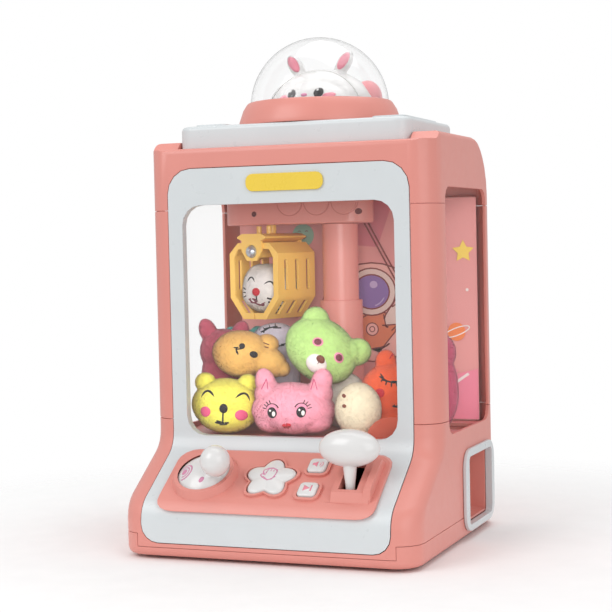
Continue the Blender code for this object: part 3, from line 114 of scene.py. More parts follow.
def scaledColour(tree, colour, factor):
    multiply = tree.nodes.new("ShaderNodeVectorMath")
    multiply.operation = "SCALE"
    tree.links.new(colour, multiply.inputs[0])
    tree.links.new(factor, multiply.inputs["Scale"])
    return multiply.outputs["Vector"]


def added(tree, a, b):
    total = tree.nodes.new("ShaderNodeMath")
    tree.links.new(a, total.inputs[0])
    tree.links.new(b, total.inputs[1])
    return total.outputs["Value"]


def bumped(tree, height, strength, distance):
    bump = tree.nodes.new("ShaderNodeBump")
    bump.inputs["Distance"].default_value = distance
    if isinstance(strength, float):
        bump.inputs["Strength"].default_value = strength
    else:
        tree.links.new(strength, bump.inputs["Strength"])
    tree.links.new(height, bump.inputs["Height"])
    return bump.outputs["Normal"]


def makeMouldedFinish():
    tree, given, made = nodeGroup(
        "moulded finish", {"Colour": "Color", "Roughness": "Float", "Ripple": "Float"},
        {"Base Color": "Color", "Roughness": "Float", "Normal": "Vector"})
    cloud = noiseNode(tree, 38, 2.0)
    tint = scaledColour(tree, given.outputs["Colour"], mapped(tree, cloud, 0.985, 1.01))
    tree.links.new(tint, made.inputs["Base Color"])
    uneven = mapped(tree, noiseNode(tree, 150, 4.0), -0.03, 0.04)
    tree.links.new(added(tree, given.outputs["Roughness"], uneven), made.inputs["Roughness"])
    ripple = bumped(tree, noiseNode(tree, 900, 2.0), given.outputs["Ripple"], 0.00012)
    tree.links.new(ripple, made.inputs["Normal"])
    return tree


def makePileFinish():
    tree, given, made = nodeGroup("pile finish", {"Colour": "Color", "Depth": "Float"},
                                  {"Base Color": "Color", "Normal": "Vector"})
    tufts = mapped(tree, noiseNode(tree, 300, 3.0), 0.93, 1.05)
    tint = scaledColour(tree, given.outputs["Colour"], tufts)
    tree.links.new(tint, made.inputs["Base Color"])
    lumps = bumped(tree, noiseNode(tree, 700, 4.0), given.outputs["Depth"], 0.0008)
    tree.links.new(lumps, made.inputs["Normal"])
    return tree


groups = {"moulded": makeMouldedFinish(), "pile": makePileFinish()}


def srgb(red, green, blue):
    parts = (red / 255, green / 255, blue / 255)
    return tuple(c / 12.92 if c < 0.0404 else ((c + 0.055) / 1.055) ** 2.4 for c in parts)


def grouped(name, group, colour, settings, **values):
    made = bpy.data.materials.new(name)
    made.use_nodes = True
    tree = made.node_tree
    shader = tree.nodes["Principled BSDF"]
    effect = tree.nodes.new("ShaderNodeGroup")
    effect.node_tree = groups[group]
    effect.inputs["Colour"].default_value = (*colour, 1)
    for label, value in settings.items():
        effect.inputs[label].default_value = value
    for output in effect.outputs:
        tree.links.new(output, shader.inputs[output.name])
    for label, value in values.items():
        shader.inputs[label.replace("_", " ")].default_value = value
    return made


def moulded(name, colour, roughness=0.35, ripple=0.05, **values):
    return grouped(name, "moulded", colour, {"Roughness": roughness, "Ripple": ripple}, **values)


def pile(name, colour, depth=0.12):
    sheen = tuple(min(1, c * 0.5 + 0.5) for c in colour) + (1,)
    return grouped(name, "pile", colour, {"Depth": depth}, Roughness=0.95, Sheen_Weight=0.55,
                   Sheen_Roughness=0.6, Sheen_Tint=sheen, Specular_IOR_Level=0.12)


paints = {
    "pink": moulded("coral pink plastic", srgb(226, 146, 135), 0.34),
    "white": moulded("cool white plastic", srgb(214, 219, 221), 0.3),
    "warmWhite": moulded("soft white plastic", srgb(226, 225, 224), 0.22, 0.03, Coat_Weight=0.3),
    "yellow": moulded("yellow plate", srgb(240, 207, 74), 0.28),
    "claw": moulded("claw yellow", srgb(255, 208, 104), 0.34),
    "clear": moulded("clear plastic", (0.8, 0.82, 0.82), 0.05, 0.0, Alpha=0.03),
    "dome": moulded("dome plastic", (1.0, 1.0, 1.0), 0.03, 0.0, Transmission_Weight=1.0, IOR=1.3),
    "amber": moulded("coral guard", srgb(240, 110, 80), 0.2, 0.0, Alpha=0.55),
    "steel": moulded("polished steel", (0.58, 0.62, 0.68), 0.3, 0.0, Metallic=0.75),
    "rubber": moulded("foot rubber", (0.03, 0.03, 0.03), 0.85),
    "dark": moulded("dark plastic", (0.035, 0.035, 0.04), 0.5),
    "board": moulded("circuit board", (0.02, 0.16, 0.07), 0.45),
    "cell": moulded("battery jacket", (0.05, 0.10, 0.28), 0.35, Metallic=0.3),
    "card": moulded("printed card", srgb(214, 150, 143), 0.6),
    "mauve": moulded("mauve print", srgb(214, 138, 172), 0.4),
    "rose": moulded("rose print", srgb(236, 142, 160), 0.4),
    "blush": moulded("blush print", srgb(243, 160, 165), 0.4),
    "ink": moulded("black ink", srgb(34, 26, 30), 0.35),
    "brown": moulded("brown ink", srgb(120, 58, 52), 0.6),
    # painted shade: a flat dark disc stands for the shadowed inside of each screw hole on the arm
    "screw": moulded("screw hole painted shade", srgb(112, 42, 38), 0.6),
    # painted shade: darker pink arcs stand for the shade under the lower rims of the arm's embossed discs
    "discRimShade": moulded("darker pink", srgb(196, 108, 98), 0.5),
}


def thread(name, red, green, blue):
    return grouped(name, "pile", srgb(red, green, blue), {"Depth": 0.25},
                   Roughness=0.6, Sheen_Weight=0.15, Specular_IOR_Level=0.3)


threads = {
    "black": thread("black thread", 30, 24, 26),
    "white": thread("white thread", 240, 236, 230),
    "pink": thread("cheek thread", 226, 92, 132),
    "lid": thread("lid thread", 238, 150, 176),
    "red": thread("red thread", 200, 32, 48),
    "brown": thread("brown thread", 120, 62, 44),
    "plum": thread("plum thread", 120, 52, 66),
    "rose": thread("rose thread", 206, 96, 130),
}


def newObject(name, mesh, *finishes):
    obj = bpy.data.objects.new(name, mesh)
    bpy.context.scene.collection.objects.link(obj)
    for finish in finishes:
        mesh.materials.append(finish)
    return obj


# the object's evaluated mesh in the row frame; the object itself goes
def baked(obj):
    bpy.context.view_layer.update()
    mesh = bpy.data.meshes.new_from_object(obj.evaluated_get(bpy.context.evaluated_depsgraph_get()))
    mesh.transform(obj.matrix_world)
    mesh.name = obj.name
    bpy.data.objects.remove(obj)
    return mesh


def smoothed(mesh, sharp):
    mesh.shade_smooth()
    mesh.set_sharp_from_angle(angle=math.radians(sharp))
    return mesh


def shown(name, mesh, body, finishes, replaced=(), weighted=True):
    obj = newObject(name, mesh, *finishes)
    if weighted:
        even = obj.modifiers.new("Even normals", "WEIGHTED_NORMAL")
        even.keep_sharp = True
    if replaced:
        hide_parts(*replaced)
    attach(obj, body)
    return obj


bodyOf = {node: body for body, group in frame["record"]["behaviour"]["bodies"].items() for node in group}


panel = {"half": 84, "foot": 36.3, "top": 74.6, "corner": 13, "margin": 0.9}


# the front edges round the outside of the control panel, whose outline is cut straight back
def panelEdges(bm):
    flat = math.sin(consoleSlope)
    found = []
    for e in bm.edges:
        inside = []
        for v in e.verts:
            x = abs(v.co.x - middle) / mm
            z = (v.co.z / mm - (panel["foot"] + panel["top"]) / 2) / flat
            tall = (panel["top"] - panel["foot"]) / 2 / flat
            over = [max(0, x - panel["half"] + panel["corner"]), max(0, abs(z) - tall + panel["corner"])]
            inside.append(panel["corner"] - math.hypot(*over))
        normals = sorted(f.normal.y for f in e.link_faces)
        atRim = max(inside) < panel["margin"] and len(normals) == 2
        if atRim and normals[0] < -0.3 and abs(normals[1]) < 0.05:  # a front face beside a straight side
            found.append(e)
    return found


crane = {"y": 117, "low": 244, "half": 17.5, "reach": 98, "tail": 28}


# the outer edges round the underside of the arm, whose plan has round ends
def armEdges(bm):
    found = []
    for e in bm.edges:
        away = []
        for v in e.verts:
            p = (v.co - place(0, crane["y"], crane["low"])) / mm
            over = max(0, crane["half"] - crane["reach"] - p.x, p.x - crane["tail"] + crane["half"])
            away.append(math.hypot(over, p.y) if abs(p.z) < 0.1 else 0)
        if min(away) > crane["half"] - 0.6 and len(e.link_faces) == 2:
            found.append(e)
    return found


rims = {"control_panel": (panelEdges, 2.2), "arm_housing": (armEdges, 3.2)}  # radius in millimetres


def eased(bm, edges, radius, segments):
    bmesh.ops.bevel(bm, geom=edges, offset=radius * mm, offset_type="OFFSET", segments=segments,
                    profile=0.5, affect="EDGES", clamp_overlap=True)


# a CAD node with its triangles merged to whole faces and its hard edges eased
def refine(node, finish, edge, sharp=38):
    bm = bmesh.new()
    bm.from_mesh(frame["nodes"][node].data)
    bmesh.ops.remove_doubles(bm, verts=bm.verts, dist=0.000002)
    bmesh.ops.dissolve_limit(bm, angle_limit=math.radians(0.8), verts=bm.verts, edges=bm.edges)
    if node in rims:
        pick, radius = rims[node]
        eased(bm, pick(bm), radius, 5)
    hard = [e for e in bm.edges if len(e.link_faces) == 2 and e.calc_face_angle(0) > math.radians(sharp)]
    eased(bm, hard, edge, 2)
    mesh = bpy.data.meshes.new(node)
    bm.to_mesh(mesh)
    bm.free()
    shown(node + "_skin", smoothed(mesh, sharp), bodyOf[node], [finish], [node])


# solid of revolution about Z: (radius, height) in millimetres, from the top down the outer side
def turnedMesh(name, profile, steps=72):
    mesh = bpy.data.meshes.new(name)
    points = [(r * mm, 0, z * mm) for r, z in profile]
    mesh.from_pydata(points, [(i, i + 1) for i in range(len(points) - 1)], [])
    obj = newObject(name, mesh)
    screw = obj.modifiers.new("Turn", "SCREW")
    screw.steps = screw.render_steps = steps
    screw.use_merge_vertices = True
    screw.merge_threshold = 0.00001
    return obj


def arcPoints(centre, radius, start, end, steps):
    turn = [math.radians(start + (end - start) * i / steps) for i in range(steps + 1)]
    return [(centre[0] + radius * math.cos(a), centre[1] + radius * math.sin(a)) for a in turn]


# the same polyline with a point about every step millimetres
def dense(points, closed=False, step=0.5):
    made = []
    count = len(points) if closed else len(points) - 1
    for i in range(count):
        a, b = Vector(points[i]), Vector(points[(i + 1) % len(points)])
        parts = max(1, math.ceil((b - a).length / step))
        made += [tuple(a.lerp(b, k / parts)) for k in range(parts)]
    if not closed:
        made.append(tuple(points[-1]))
    return made


# a rounded line by the points: a Catmull-Rom spline with the end signs of its cubic term swapped, so it
# swings off before each point; the drawings below were fitted with it
def curved(points, closed=False, steps=6):
    count = len(points)
    made = []
    for i in range(count if closed else count - 1):
        near = [i + k - 1 for k in range(4)]
        near = [k % count if closed else min(max(k, 0), count - 1) for k in near]
        a, b, c, d = (Vector(points[k]) for k in near)
        for k in range(steps):
            t = k / steps
            square = (2 * a - 5 * b + 4 * c - d) * t * t
            cube = (3 * b - 3 * c + a - d) * t ** 3
            made.append(tuple(0.5 * (2 * b + (c - a) * t + square + cube)))
    if not closed:
        made.append(tuple(points[-1]))
    return made


def ellipse(centre, radii, turn=0.0, steps=28):
    a = math.radians(turn)
    made = []
    for i in range(steps):
        t = 2 * math.pi * i / steps
        x, y = radii[0] * math.cos(t), radii[1] * math.sin(t)
        made.append((centre[0] + x * math.cos(a) - y * math.sin(a),
                     centre[1] + x * math.sin(a) + y * math.cos(a)))
    return made


# finds where a face drawing lands: u is to the right, v is up, and the rays go along +Y of the frame
class Surface:
    def __init__(self, mesh, matrix, reach=80):
        bm = bmesh.new()
        bm.from_mesh(mesh)
        self.tree = BVHTree.FromBMesh(bm)
        bm.free()
        self.matrix = matrix
        self.turn = matrix.to_3x3()
        self.reach = reach

    def at(self, u, v, lift=0.0):
        start = self.matrix @ Vector((u * mm, -self.reach * mm, v * mm))
        hit, normal, _, _ = self.tree.ray_cast(start, self.turn @ Vector((0, 1, 0)))
        if hit is None:
            return None, None
        return hit + normal * lift * mm, normal


# raised strokes and patches on a surface, gathered as one mesh with a material for each finish
class Drawing:
    def __init__(self):
        self.verts = []
        self.faces = []
        self.slots = []
        self.finishes = []

    def slotOf(self, finish):
        if finish not in self.finishes:
            self.finishes.append(finish)
        return self.finishes.index(finish)

    def addFaces(self, verts, faces, finish):
        first = len(self.verts)
        self.verts += verts
        self.faces += [[first + i for i in face] for face in faces]
        self.slots += [self.slotOf(finish)] * len(faces)

    # a raised line: width across and height out of the surface, in millimetres
    def stroke(self, surface, points, width, height, finish, closed=False, sides=6, taper=False, lift=0.0):
        line = dense(points, closed)
        rings = []
        count = len(line)
        for i, (u, v) in enumerate(line):
            hit, normal = surface.at(u, v, lift)
            if hit is None:
                continue
            before = line[i - 1] if closed or i else line[i]
            after = line[(i + 1) % count] if closed or i < count - 1 else line[i]
            along = surface.turn @ Vector((after[0] - before[0], 0, after[1] - before[1]))
            side = along.cross(normal)
            if side.length < 1e-9:
                continue
            side.normalize()
            slim = 1.0 if not taper else max(0.25, 1 - abs(2 * i / (count - 1) - 1) ** 3)
            ring = []
            for k in range(sides):
                a = 2 * math.pi * k / sides
                sideways = side * math.cos(a) * width / 2 * slim * mm
                ring.append(hit + sideways + normal * math.sin(a) * height * slim * mm)
            rings.append(ring)
        if len(rings) < 2:
            return
        verts = [v for ring in rings for v in ring]
        faces = []
        total = len(rings)
        for i in range(total if closed else total - 1):
            j = (i + 1) % total
            for k in range(sides):
                m = (k + 1) % sides
                faces.append([i * sides + k, j * sides + k, j * sides + m, i * sides + m])
        if not closed:
            faces.append(list(range(sides)))
            faces.append([(total - 1) * sides + k for k in reversed(range(sides))])
        self.addFaces(verts, faces, finish)

    # a filled shape that stands height out of the surface, higher by crown in the middle
    def patch(self, surface, outline, height, finish, crown=0.3, rings=4, lift=0.0):
        count = len(outline)
        centre = (sum(p[0] for p in outline) / count, sum(p[1] for p in outline) / count)
        verts = []
        levels = [(1.0, -0.4)] + [(1 - k / rings, 1.0) for k in range(rings)]
        for share, rise in levels:
            for u, v in outline:
                out = lift + (height + crown * (1 - share * share) if rise > 0 else rise)
                hit, normal = surface.at(centre[0] + (u - centre[0]) * share,
                                         centre[1] + (v - centre[1]) * share, out)
                if hit is None:
                    return
                verts.append(hit)
        hit, normal = surface.at(centre[0], centre[1], lift + height + crown)
        if hit is None:
            return
        verts.append(hit)
        faces = []
        for level in range(len(levels) - 1):
            for i in range(count):
                j = (i + 1) % count
                a, b = level * count, (level + 1) * count
                faces.append([a + i, a + j, b + j, b + i])
        top = (len(levels) - 1) * count
        faces += [[top + i, top + (i + 1) % count, len(verts) - 1] for i in range(count)]
        self.addFaces(verts, faces, finish)

    def mesh(self, name):
        made = bpy.data.meshes.new(name)
        made.from_pydata([tuple(v) for v in self.verts], [], self.faces)
        made.polygons.foreach_set("material_index", self.slots)
        bm = bmesh.new()
        bm.from_mesh(made)
        bmesh.ops.recalc_face_normals(bm, faces=bm.faces)
        bm.to_mesh(made)
        bm.free()
        made.shade_smooth()
        return made


skins = {
    ("pink", 0.6): ("base_tray", "lower_housing", "front_post_left", "front_post_right", "rear_wall",
                    "upper_housing", "dome_ring", "battery_door", "control_panel", "column_base",
                    "column_tube", "arm_housing", "arm_cover", "pit_floor", "prize_chute"),
    ("white", 0.6): ("front_bezel", "outlet_frame", "top_lid"),
    ("clear", 0.3): ("front_window", "side_window_left", "side_window_right"),
    ("yellow", 0.3): ("title_plate",),
    ("claw", 0.3): ("claw_hub", "jaw_left", "jaw_right"),
    ("amber", 0.3): ("pit_guard",),
    ("board", 0.3): ("circuit_board",),
    ("cell", 0.3): ("battery_1", "battery_2"),
    ("dark", 0.3): ("speaker", "battery_box", "joystick_gimbal", "power_switch"),
    ("rubber", 0.3): ("foot_front_left", "foot_front_right", "foot_rear_left", "foot_rear_right"),
    ("card", 0.3): ("backdrop_card",),
}
for (finish, edge), nodes in skins.items():
    for node in nodes:
        refine(node, paints[finish], edge)

armMarks = {"screws": (-68, 21), "screwZ": 253, "screwRadius": 2.4,
            "discs": (-36.6, -13.4, 10), "discZ": 261.8, "discRadius": 11}
armPaintedShade = Drawing()
armFace = Surface(bpy.data.objects["arm_housing_skin"].data, Matrix.Translation(place(0, crane["y"], 0)))
# the arm's screw holes are flat dark discs of painted shade, not real recesses
for x in armMarks["screws"]:
    hole = ellipse((x, armMarks["screwZ"]), [armMarks["screwRadius"]] * 2)
    armPaintedShade.patch(armFace, hole, 0.05, paints["screw"], 0.0)
# painted shade: a darker arc along the lower half of each embossed disc stands for the shade under its rim
for x in armMarks["discs"]:
    arc = arcPoints((x, armMarks["discZ"]), armMarks["discRadius"], 185, 355, 30)
    armPaintedShade.stroke(armFace, arc, 0.5, 0.05, paints["discRimShade"])
shown("arm_painted_shade", armPaintedShade.mesh("arm_painted_shade"), "arm", armPaintedShade.finishes, weighted=False)
print("casing refined")

star = {"x": -2.5, "u": -38, "radius": 20, "top": 7.0, "foot": -3.0, "waist": 0.7, "plump": 1.3}
keys = {"volume_button": -24, "track_button": -49.5}
keyShape = {"x": 30.6, "side": 14, "corner": 3.2, "top": 7.0, "foot": -3.0}


def starOutline(radius, steps=20):
    made = []
    for i in range(5):
        for k in range(steps):
            turn = -36 + 72 * k / steps
            petal = abs(math.cos(math.radians(turn * 2.5))) ** star["plump"]
            reach = star["waist"] + (1 - star["waist"]) * petal
            a = math.radians(90 + 72 * i + turn)
            made.append((radius * reach * math.cos(a), radius * reach * math.sin(a)))
    return made


def roundedSquare(side, corner, steps=6):
    half = side / 2 - corner
    made = []
    for sx, sy, start in ((1, 1, 0), (-1, 1, 90), (-1, -1, 180), (1, -1, 270)):
        made += arcPoints((sx * half, sy * half), corner, start, start + 90, steps)
    return made


# a button cap in the console's frame: straight sides, a rounded edge and a swelling top
def plumpCap(name, outline, centre, foot, top, bulge, edge):
    count = len(outline)
    widest = max(math.hypot(*p) for p in outline)
    levels = [(1.0, foot), (1.0, top - edge)]  # share of the outline's size, and height
    for k in range(1, 6):
        a = math.radians(90 * k / 5)
        levels.append((1 - edge * (1 - math.cos(a)) / widest * 1.25, top - edge + edge * math.sin(a)))
    last = 1 - edge / widest * 1.25
    for k in range(1, 7):
        share = last * (1 - k / 7)
        levels.append((share, top + bulge * (1 - (share / last) ** 2)))
    verts = [(centre[0] + x * share, centre[1] + y * share, h) for share, h in levels for x, y in outline]
    verts.append((*centre, top + bulge))
    faces = []
    for row in range(len(levels) - 1):
        for i in range(count):
            j = (i + 1) % count
            a, b = row * count, (row + 1) * count
            faces.append([a + i, a + j, b + j, b + i])
    ring = (len(levels) - 1) * count
    faces += [[ring + i, ring + (i + 1) % count, len(verts) - 1] for i in range(count)]
    faces.append(list(reversed(range(count))))
    mesh = bpy.data.meshes.new(name)
    mesh.from_pydata([tuple(c * mm for c in v) for v in verts], [], faces)
    mesh.transform(consoleFrame)
    return smoothed(mesh, 50)


# drawings on the console look along the slope's normal: v runs up the slope
drawFrame = consoleFrame @ Matrix.Rotation(math.radians(-90), 4, "X")


def consoleSurface(mesh, x, u):
    return Surface(mesh, drawFrame @ Matrix.Translation((x * mm, 0, u * mm)))


starMesh = plumpCap("star_cap", starOutline(star["radius"] - 0.4), (star["x"], star["u"]), star["foot"],
                    star["top"] - 1.0, 1.6, 2.6)
starFace = consoleSurface(starMesh, star["x"], star["u"])
shown("star_cap", starMesh, "star_key", [paints["warmWhite"]], ["star_button"], weighted=False)

handPrint = {"x": -0.6, "up": 0.6, "width": 0.9, "creaseWidth": 0.7}
handOutline = [(-5.2, 3.6), (-4.6, 6.0), (-2.8, 6.8), (-1.6, 6.2), (-0.2, 7.2), (1.4, 6.6), (2.6, 6.8),
               (4.0, 5.4), (4.8, 4.8), (5.4, 3.0), (5.2, -0.6), (4.4, -2.6), (3.4, -4.2), (0.6, -5.6),
               (-2.2, -4.6), (-3.4, -2.6), (-5.6, -1.4), (-6.2, 0.2), (-4.4, 0.6), (-3.2, 0.2), (-4.4, 1.8)]
handCreases = [[(-3.2, 0.2), (-2.2, 1.8), (-2.2, 4.4)], [(-2.2, 3.6), (-1.6, 6.0)],
               [(0.4, 3.4), (0.6, 5.6)], [(2.6, 3.2), (2.8, 5.0)]]


def onStar(points):
    return [(x + handPrint["x"], y + handPrint["up"]) for x, y in points]


hand = Drawing()
hand.stroke(starFace, onStar(curved(handOutline, True, 4)), handPrint["width"], 0.14, paints["mauve"],
            closed=True)
for crease in handCreases:
    hand.stroke(starFace, onStar(curved(crease)), handPrint["creaseWidth"], 0.12, paints["mauve"])
shown("star_hand_print", hand.mesh("star_hand_print"), "star_key", hand.finishes, weighted=False)

horn = [(-3.6, -1.2), (-1.9, -1.2), (0.3, -3.0), (0.3, 3.0), (-1.9, 1.2), (-3.6, 1.2)]
arrow = [(-3.0, -3.0), (2.0, 0), (-3.0, 3.0)]
bar = [(2.3, -3.0), (3.4, -3.0), (3.4, 3.0), (2.3, 3.0)]
# filled shapes, then the radii of arcs
marks = {"volume_button": ([horn], (2.4, 4.0)), "track_button": ([arrow, bar], ())}
for name, u in keys.items():
    cap = plumpCap(name + "_cap", roundedSquare(keyShape["side"], keyShape["corner"]), (keyShape["x"], u),
                   keyShape["foot"], keyShape["top"] - 0.3, 0.4, 1.3)
    face = consoleSurface(cap, keyShape["x"], u)
    shown(name + "_cap", cap, bodyOf[name], [paints["warmWhite"]], [name], weighted=False)
    glyph = Drawing()
    solids, arcs = marks[name]
    for outline in solids:
        glyph.patch(face, dense(outline, True, 0.8), 0.08, paints["rose"], 0.02, 2)
    for radius in arcs:
        glyph.stroke(face, arcPoints((0.2, 0), radius, -42, 42, 8), 0.65, 0.1, paints["rose"])
    shown(name + "_print", glyph.mesh(name + "_print"), bodyOf[name], glyph.finishes, weighted=False)

joystick = {"x": -54.5, "u": -37.5, "depth": 15.6, "fore": 9.3, "side": 21.3, "dome": 30, "skirt": 70,
            "wall": 2, "stick": 3.2, "ball": 11.0, "ballFoot": 31.4, "ballLength": 24}
joystickSpot = (joystick["x"] * mm, joystick["u"] * mm)
stickFrame = (consoleFrame @ Matrix.Translation((*joystickSpot, -joystick["depth"] * mm))
              @ Matrix.Rotation(math.radians(joystick["fore"]), 4, "X")
              @ Matrix.Rotation(math.radians(joystick["side"]), 4, "Y"))


# points of a quarter round about the top, from one angle to another, for a profile to turn
def roundProfile(radius, angles, middleHeight=0.0):
    return [(radius * math.sin(math.radians(t)), middleHeight + radius * math.cos(math.radians(t)))
            for t in angles]


profile = [(0, 33.0), (joystick["stick"], 33.0), (joystick["stick"] + 0.2, 31.6), (4.6, 30.3)]
profile += roundProfile(joystick["dome"], range(12, joystick["skirt"] + 1, 4))
profile += roundProfile(joystick["dome"] - joystick["wall"], range(joystick["skirt"], 7, -6))
profile += [(4, 27.6), (4, -4), (0, -4)]
cap = turnedMesh("joystick_dome", profile, 80)
cap.matrix_world = stickFrame
capMesh = smoothed(baked(cap), 40)
domeFace = Surface(capMesh, consoleFrame @ Matrix.Translation((*joystickSpot, 0))
                   @ Matrix.Rotation(math.radians(-90), 4, "X"))
shown("joystick_dome", capMesh, "joystick", [paints["warmWhite"]], ["joystick_cap"], weighted=False)

spot = (-13.2, -4.6)  # the planet's middle on the dome
planet = Drawing()
planet.stroke(domeFace, arcPoints(spot, 6.2, -100, 130, 26), 1.3, 0.08, paints["mauve"])
planet.stroke(domeFace, arcPoints(spot, 4.0, -110, 140, 22), 1.1, 0.08, paints["mauve"])
planet.patch(domeFace, ellipse(spot, (2.4, 2.4)), 0.06, paints["mauve"], 0.0, 3)
planet.patch(domeFace, ellipse((3.4, -12.4), (1.5, 2.4), -35), 0.06, paints["mauve"], 0.0, 3)
shown("joystick_print", planet.mesh("joystick_print"), "joystick", planet.finishes, weighted=False)

# the ball on the stick from the top down: share of its radius, and of its length above its foot
egg = [(0, 1.0), (0.2, 0.992), (0.4, 0.965), (0.6, 0.915), (0.78, 0.84), (0.91, 0.74), (0.985, 0.62),
       (1.0, 0.5), (0.97, 0.39), (0.9, 0.29), (0.79, 0.2), (0.66, 0.13), (0.55, 0.07), (0.48, 0.02),
       (0.4, 0.0), (0, 0.0)]
profile = [(r * joystick["ball"], joystick["ballFoot"] + s * joystick["ballLength"]) for r, s in egg]
ball = turnedMesh("joystick_egg", profile, 64)
ball.matrix_world = stickFrame
shown("joystick_egg", smoothed(baked(ball), 60), "joystick", [paints["warmWhite"]], ["joystick_knob"],
      weighted=False)


def smoothBall(name, centre, radii):
    bm = bmesh.new()
    bmesh.ops.create_icosphere(bm, subdivisions=5, radius=1)
    bmesh.ops.transform(bm, matrix=Matrix.Diagonal((*[r * mm for r in radii], 1)), verts=bm.verts)
    bmesh.ops.transform(bm, matrix=Matrix.Translation(centre), verts=bm.verts)
    mesh = bpy.data.meshes.new(name)
    bm.to_mesh(mesh)
    bm.free()
    mesh.shade_smooth()
    return mesh


knobLow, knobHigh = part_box("lever_knob")
knobSize = (knobHigh - knobLow) / (2 * mm)
knob = smoothBall("lever_egg", (knobLow + knobHigh) / 2, (knobSize.x * 1.01, knobSize.y, knobSize.z * 1.02))
shown("lever_egg", knob, "lever", [paints["warmWhite"]], ["lever_knob"], weighted=False)

lever = {"x": 61.4, "u": -54.8, "depth": -10, "steps": 32, "hub": (6, 5), "pin": 2.4}
# the neck's cross sections: height, then half widths across and along
neck = [(0, 3.2, 2.6), (12, 3.2, 2.7), (20, 3.5, 3.4), (26, 4.2, 4.6), (32, 4.8, 5.6), (37.5, 5.0, 6.2)]
bm = bmesh.new()
circle = [math.tau * k / lever["steps"] for k in range(lever["steps"])]
rows = [[bm.verts.new((rx * math.cos(a) * mm, ry * math.sin(a) * mm, z * mm)) for a in circle]
        for z, rx, ry in neck]
for lower, upper in zip(rows, rows[1:]):
    for k in range(lever["steps"]):
        after = (k + 1) % lever["steps"]
        bm.faces.new((lower[k], lower[after], upper[after], upper[k]))
bm.faces.new(rows[0][::-1])
bm.faces.new(rows[-1])
across = Matrix.Rotation(math.radians(90), 4, "Y")
stemLow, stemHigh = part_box("lift_lever")
for radius, half in (lever["hub"], (lever["pin"], (stemHigh.x - stemLow.x) / 2 / mm)):
    bmesh.ops.create_cone(bm, cap_ends=True, segments=lever["steps"], radius1=radius * mm,
                          radius2=radius * mm, depth=2 * half * mm, matrix=across)
pivot = consoleFrame @ Vector([lever[k] * mm for k in ("x", "u", "depth")])
bmesh.ops.transform(bm, matrix=Matrix.Translation(pivot), verts=bm.verts)
stem = bpy.data.meshes.new("lever_neck")
bm.to_mesh(stem)
bm.free()
shown("lever_neck", smoothed(stem, 40), "lever", [paints["warmWhite"]], ["lift_lever"], weighted=False)

ballLow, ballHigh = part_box("steel_ball")
clawBall = smoothBall("claw_ball", (ballLow + ballHigh) / 2, [(ballHigh.z - ballLow.z) / 2 / mm] * 3)
shown("claw_ball", clawBall, "arm", [paints["steel"]], ["steel_ball"], weighted=False)
print("console made")

domeShape = {"y": 77, "z": 334.3, "radius": 54.2, "wall": 1.5, "foot": 319.8}
outer, inner = domeShape["radius"], domeShape["radius"] - domeShape["wall"]
profile = roundProfile(outer, range(0, 91, 3), domeShape["z"])
profile += [(outer, domeShape["foot"]), (inner, domeShape["foot"])]
profile += roundProfile(inner, range(90, -1, -3), domeShape["z"])
bubble = turnedMesh("dome_bubble", profile, 120)
bubble.location = place(0, domeShape["y"], 0)
shown("dome_bubble", smoothed(baked(bubble), 50), "lid", [paints["dome"]], ["clear_dome"], weighted=False)


# one soft body from ellipsoids: each is (centre, radii) in the frame's millimetres, and may lean about Y
def blobMesh(name, blobs, matrix, voxel, smooth):
    bm = bmesh.new()
    for centre, radii, *lean in blobs:
        angles = Euler((0, math.radians(sum(lean)), 0)).to_matrix().to_4x4()
        made = bmesh.ops.create_icosphere(bm, subdivisions=4, radius=1)
        size = Matrix.Diagonal((*[q * mm for q in radii], 1))
        shape = Matrix.Translation([c * mm for c in centre]) @ angles @ size
        bmesh.ops.transform(bm, matrix=shape, verts=made["verts"])
    mesh = bpy.data.meshes.new(name)
    bm.to_mesh(mesh)
    bm.free()
    obj = newObject(name, mesh)
    merge = obj.modifiers.new("Merge", "REMESH")
    merge.mode = "VOXEL"
    merge.voxel_size = voxel * mm
    soft = obj.modifiers.new("Soften", "SMOOTH")
    soft.factor = 0.5
    soft.iterations = smooth
    obj.matrix_world = matrix
    mesh = baked(obj)
    mesh.shade_smooth()
    return mesh


rabbitFrame = Matrix.Translation(place(0, domeShape["y"], 0))
ears = {"x": 20, "z": 367.5, "lean": 35, "radii": (5.8, 4.4, 11)}
rabbit = {"face": -1.8, "eye": (11.2, 343.2), "cheek": (19, 341.0), "nose": 342.0, "collar": (322, 40.6)}
blobs = [((0, 3, 328), (46, 28, 36)), ((0, -2, 331), (36, 30, 25.5))]
blobs += [((sign * ears["x"], 2, ears["z"]), ears["radii"], sign * ears["lean"]) for sign in (-1, 1)]
headMesh = blobMesh("rabbit_head", blobs, rabbitFrame, 0.8, 4)
bm = bmesh.new()
bm.from_mesh(headMesh)
bmesh.ops.bisect_plane(bm, geom=bm.verts[:] + bm.edges[:] + bm.faces[:], plane_no=(0, 0, -1),
                       plane_co=(0, 0, domeShape["foot"] * mm), clear_outer=True)
bmesh.ops.holes_fill(bm, edges=[e for e in bm.edges if e.is_boundary], sides=0)
bm.to_mesh(headMesh)
bm.free()
rabbitFace = Surface(headMesh, rabbitFrame)
shown("rabbit_head", smoothed(headMesh, 60), "lid", [paints["warmWhite"]], ["dome_rabbit"], weighted=False)

look = Drawing()


def facePatch(spot, radii, turn, height, finish, crown):
    look.patch(rabbitFace, ellipse(spot, radii, turn), height, paints[finish], crown)


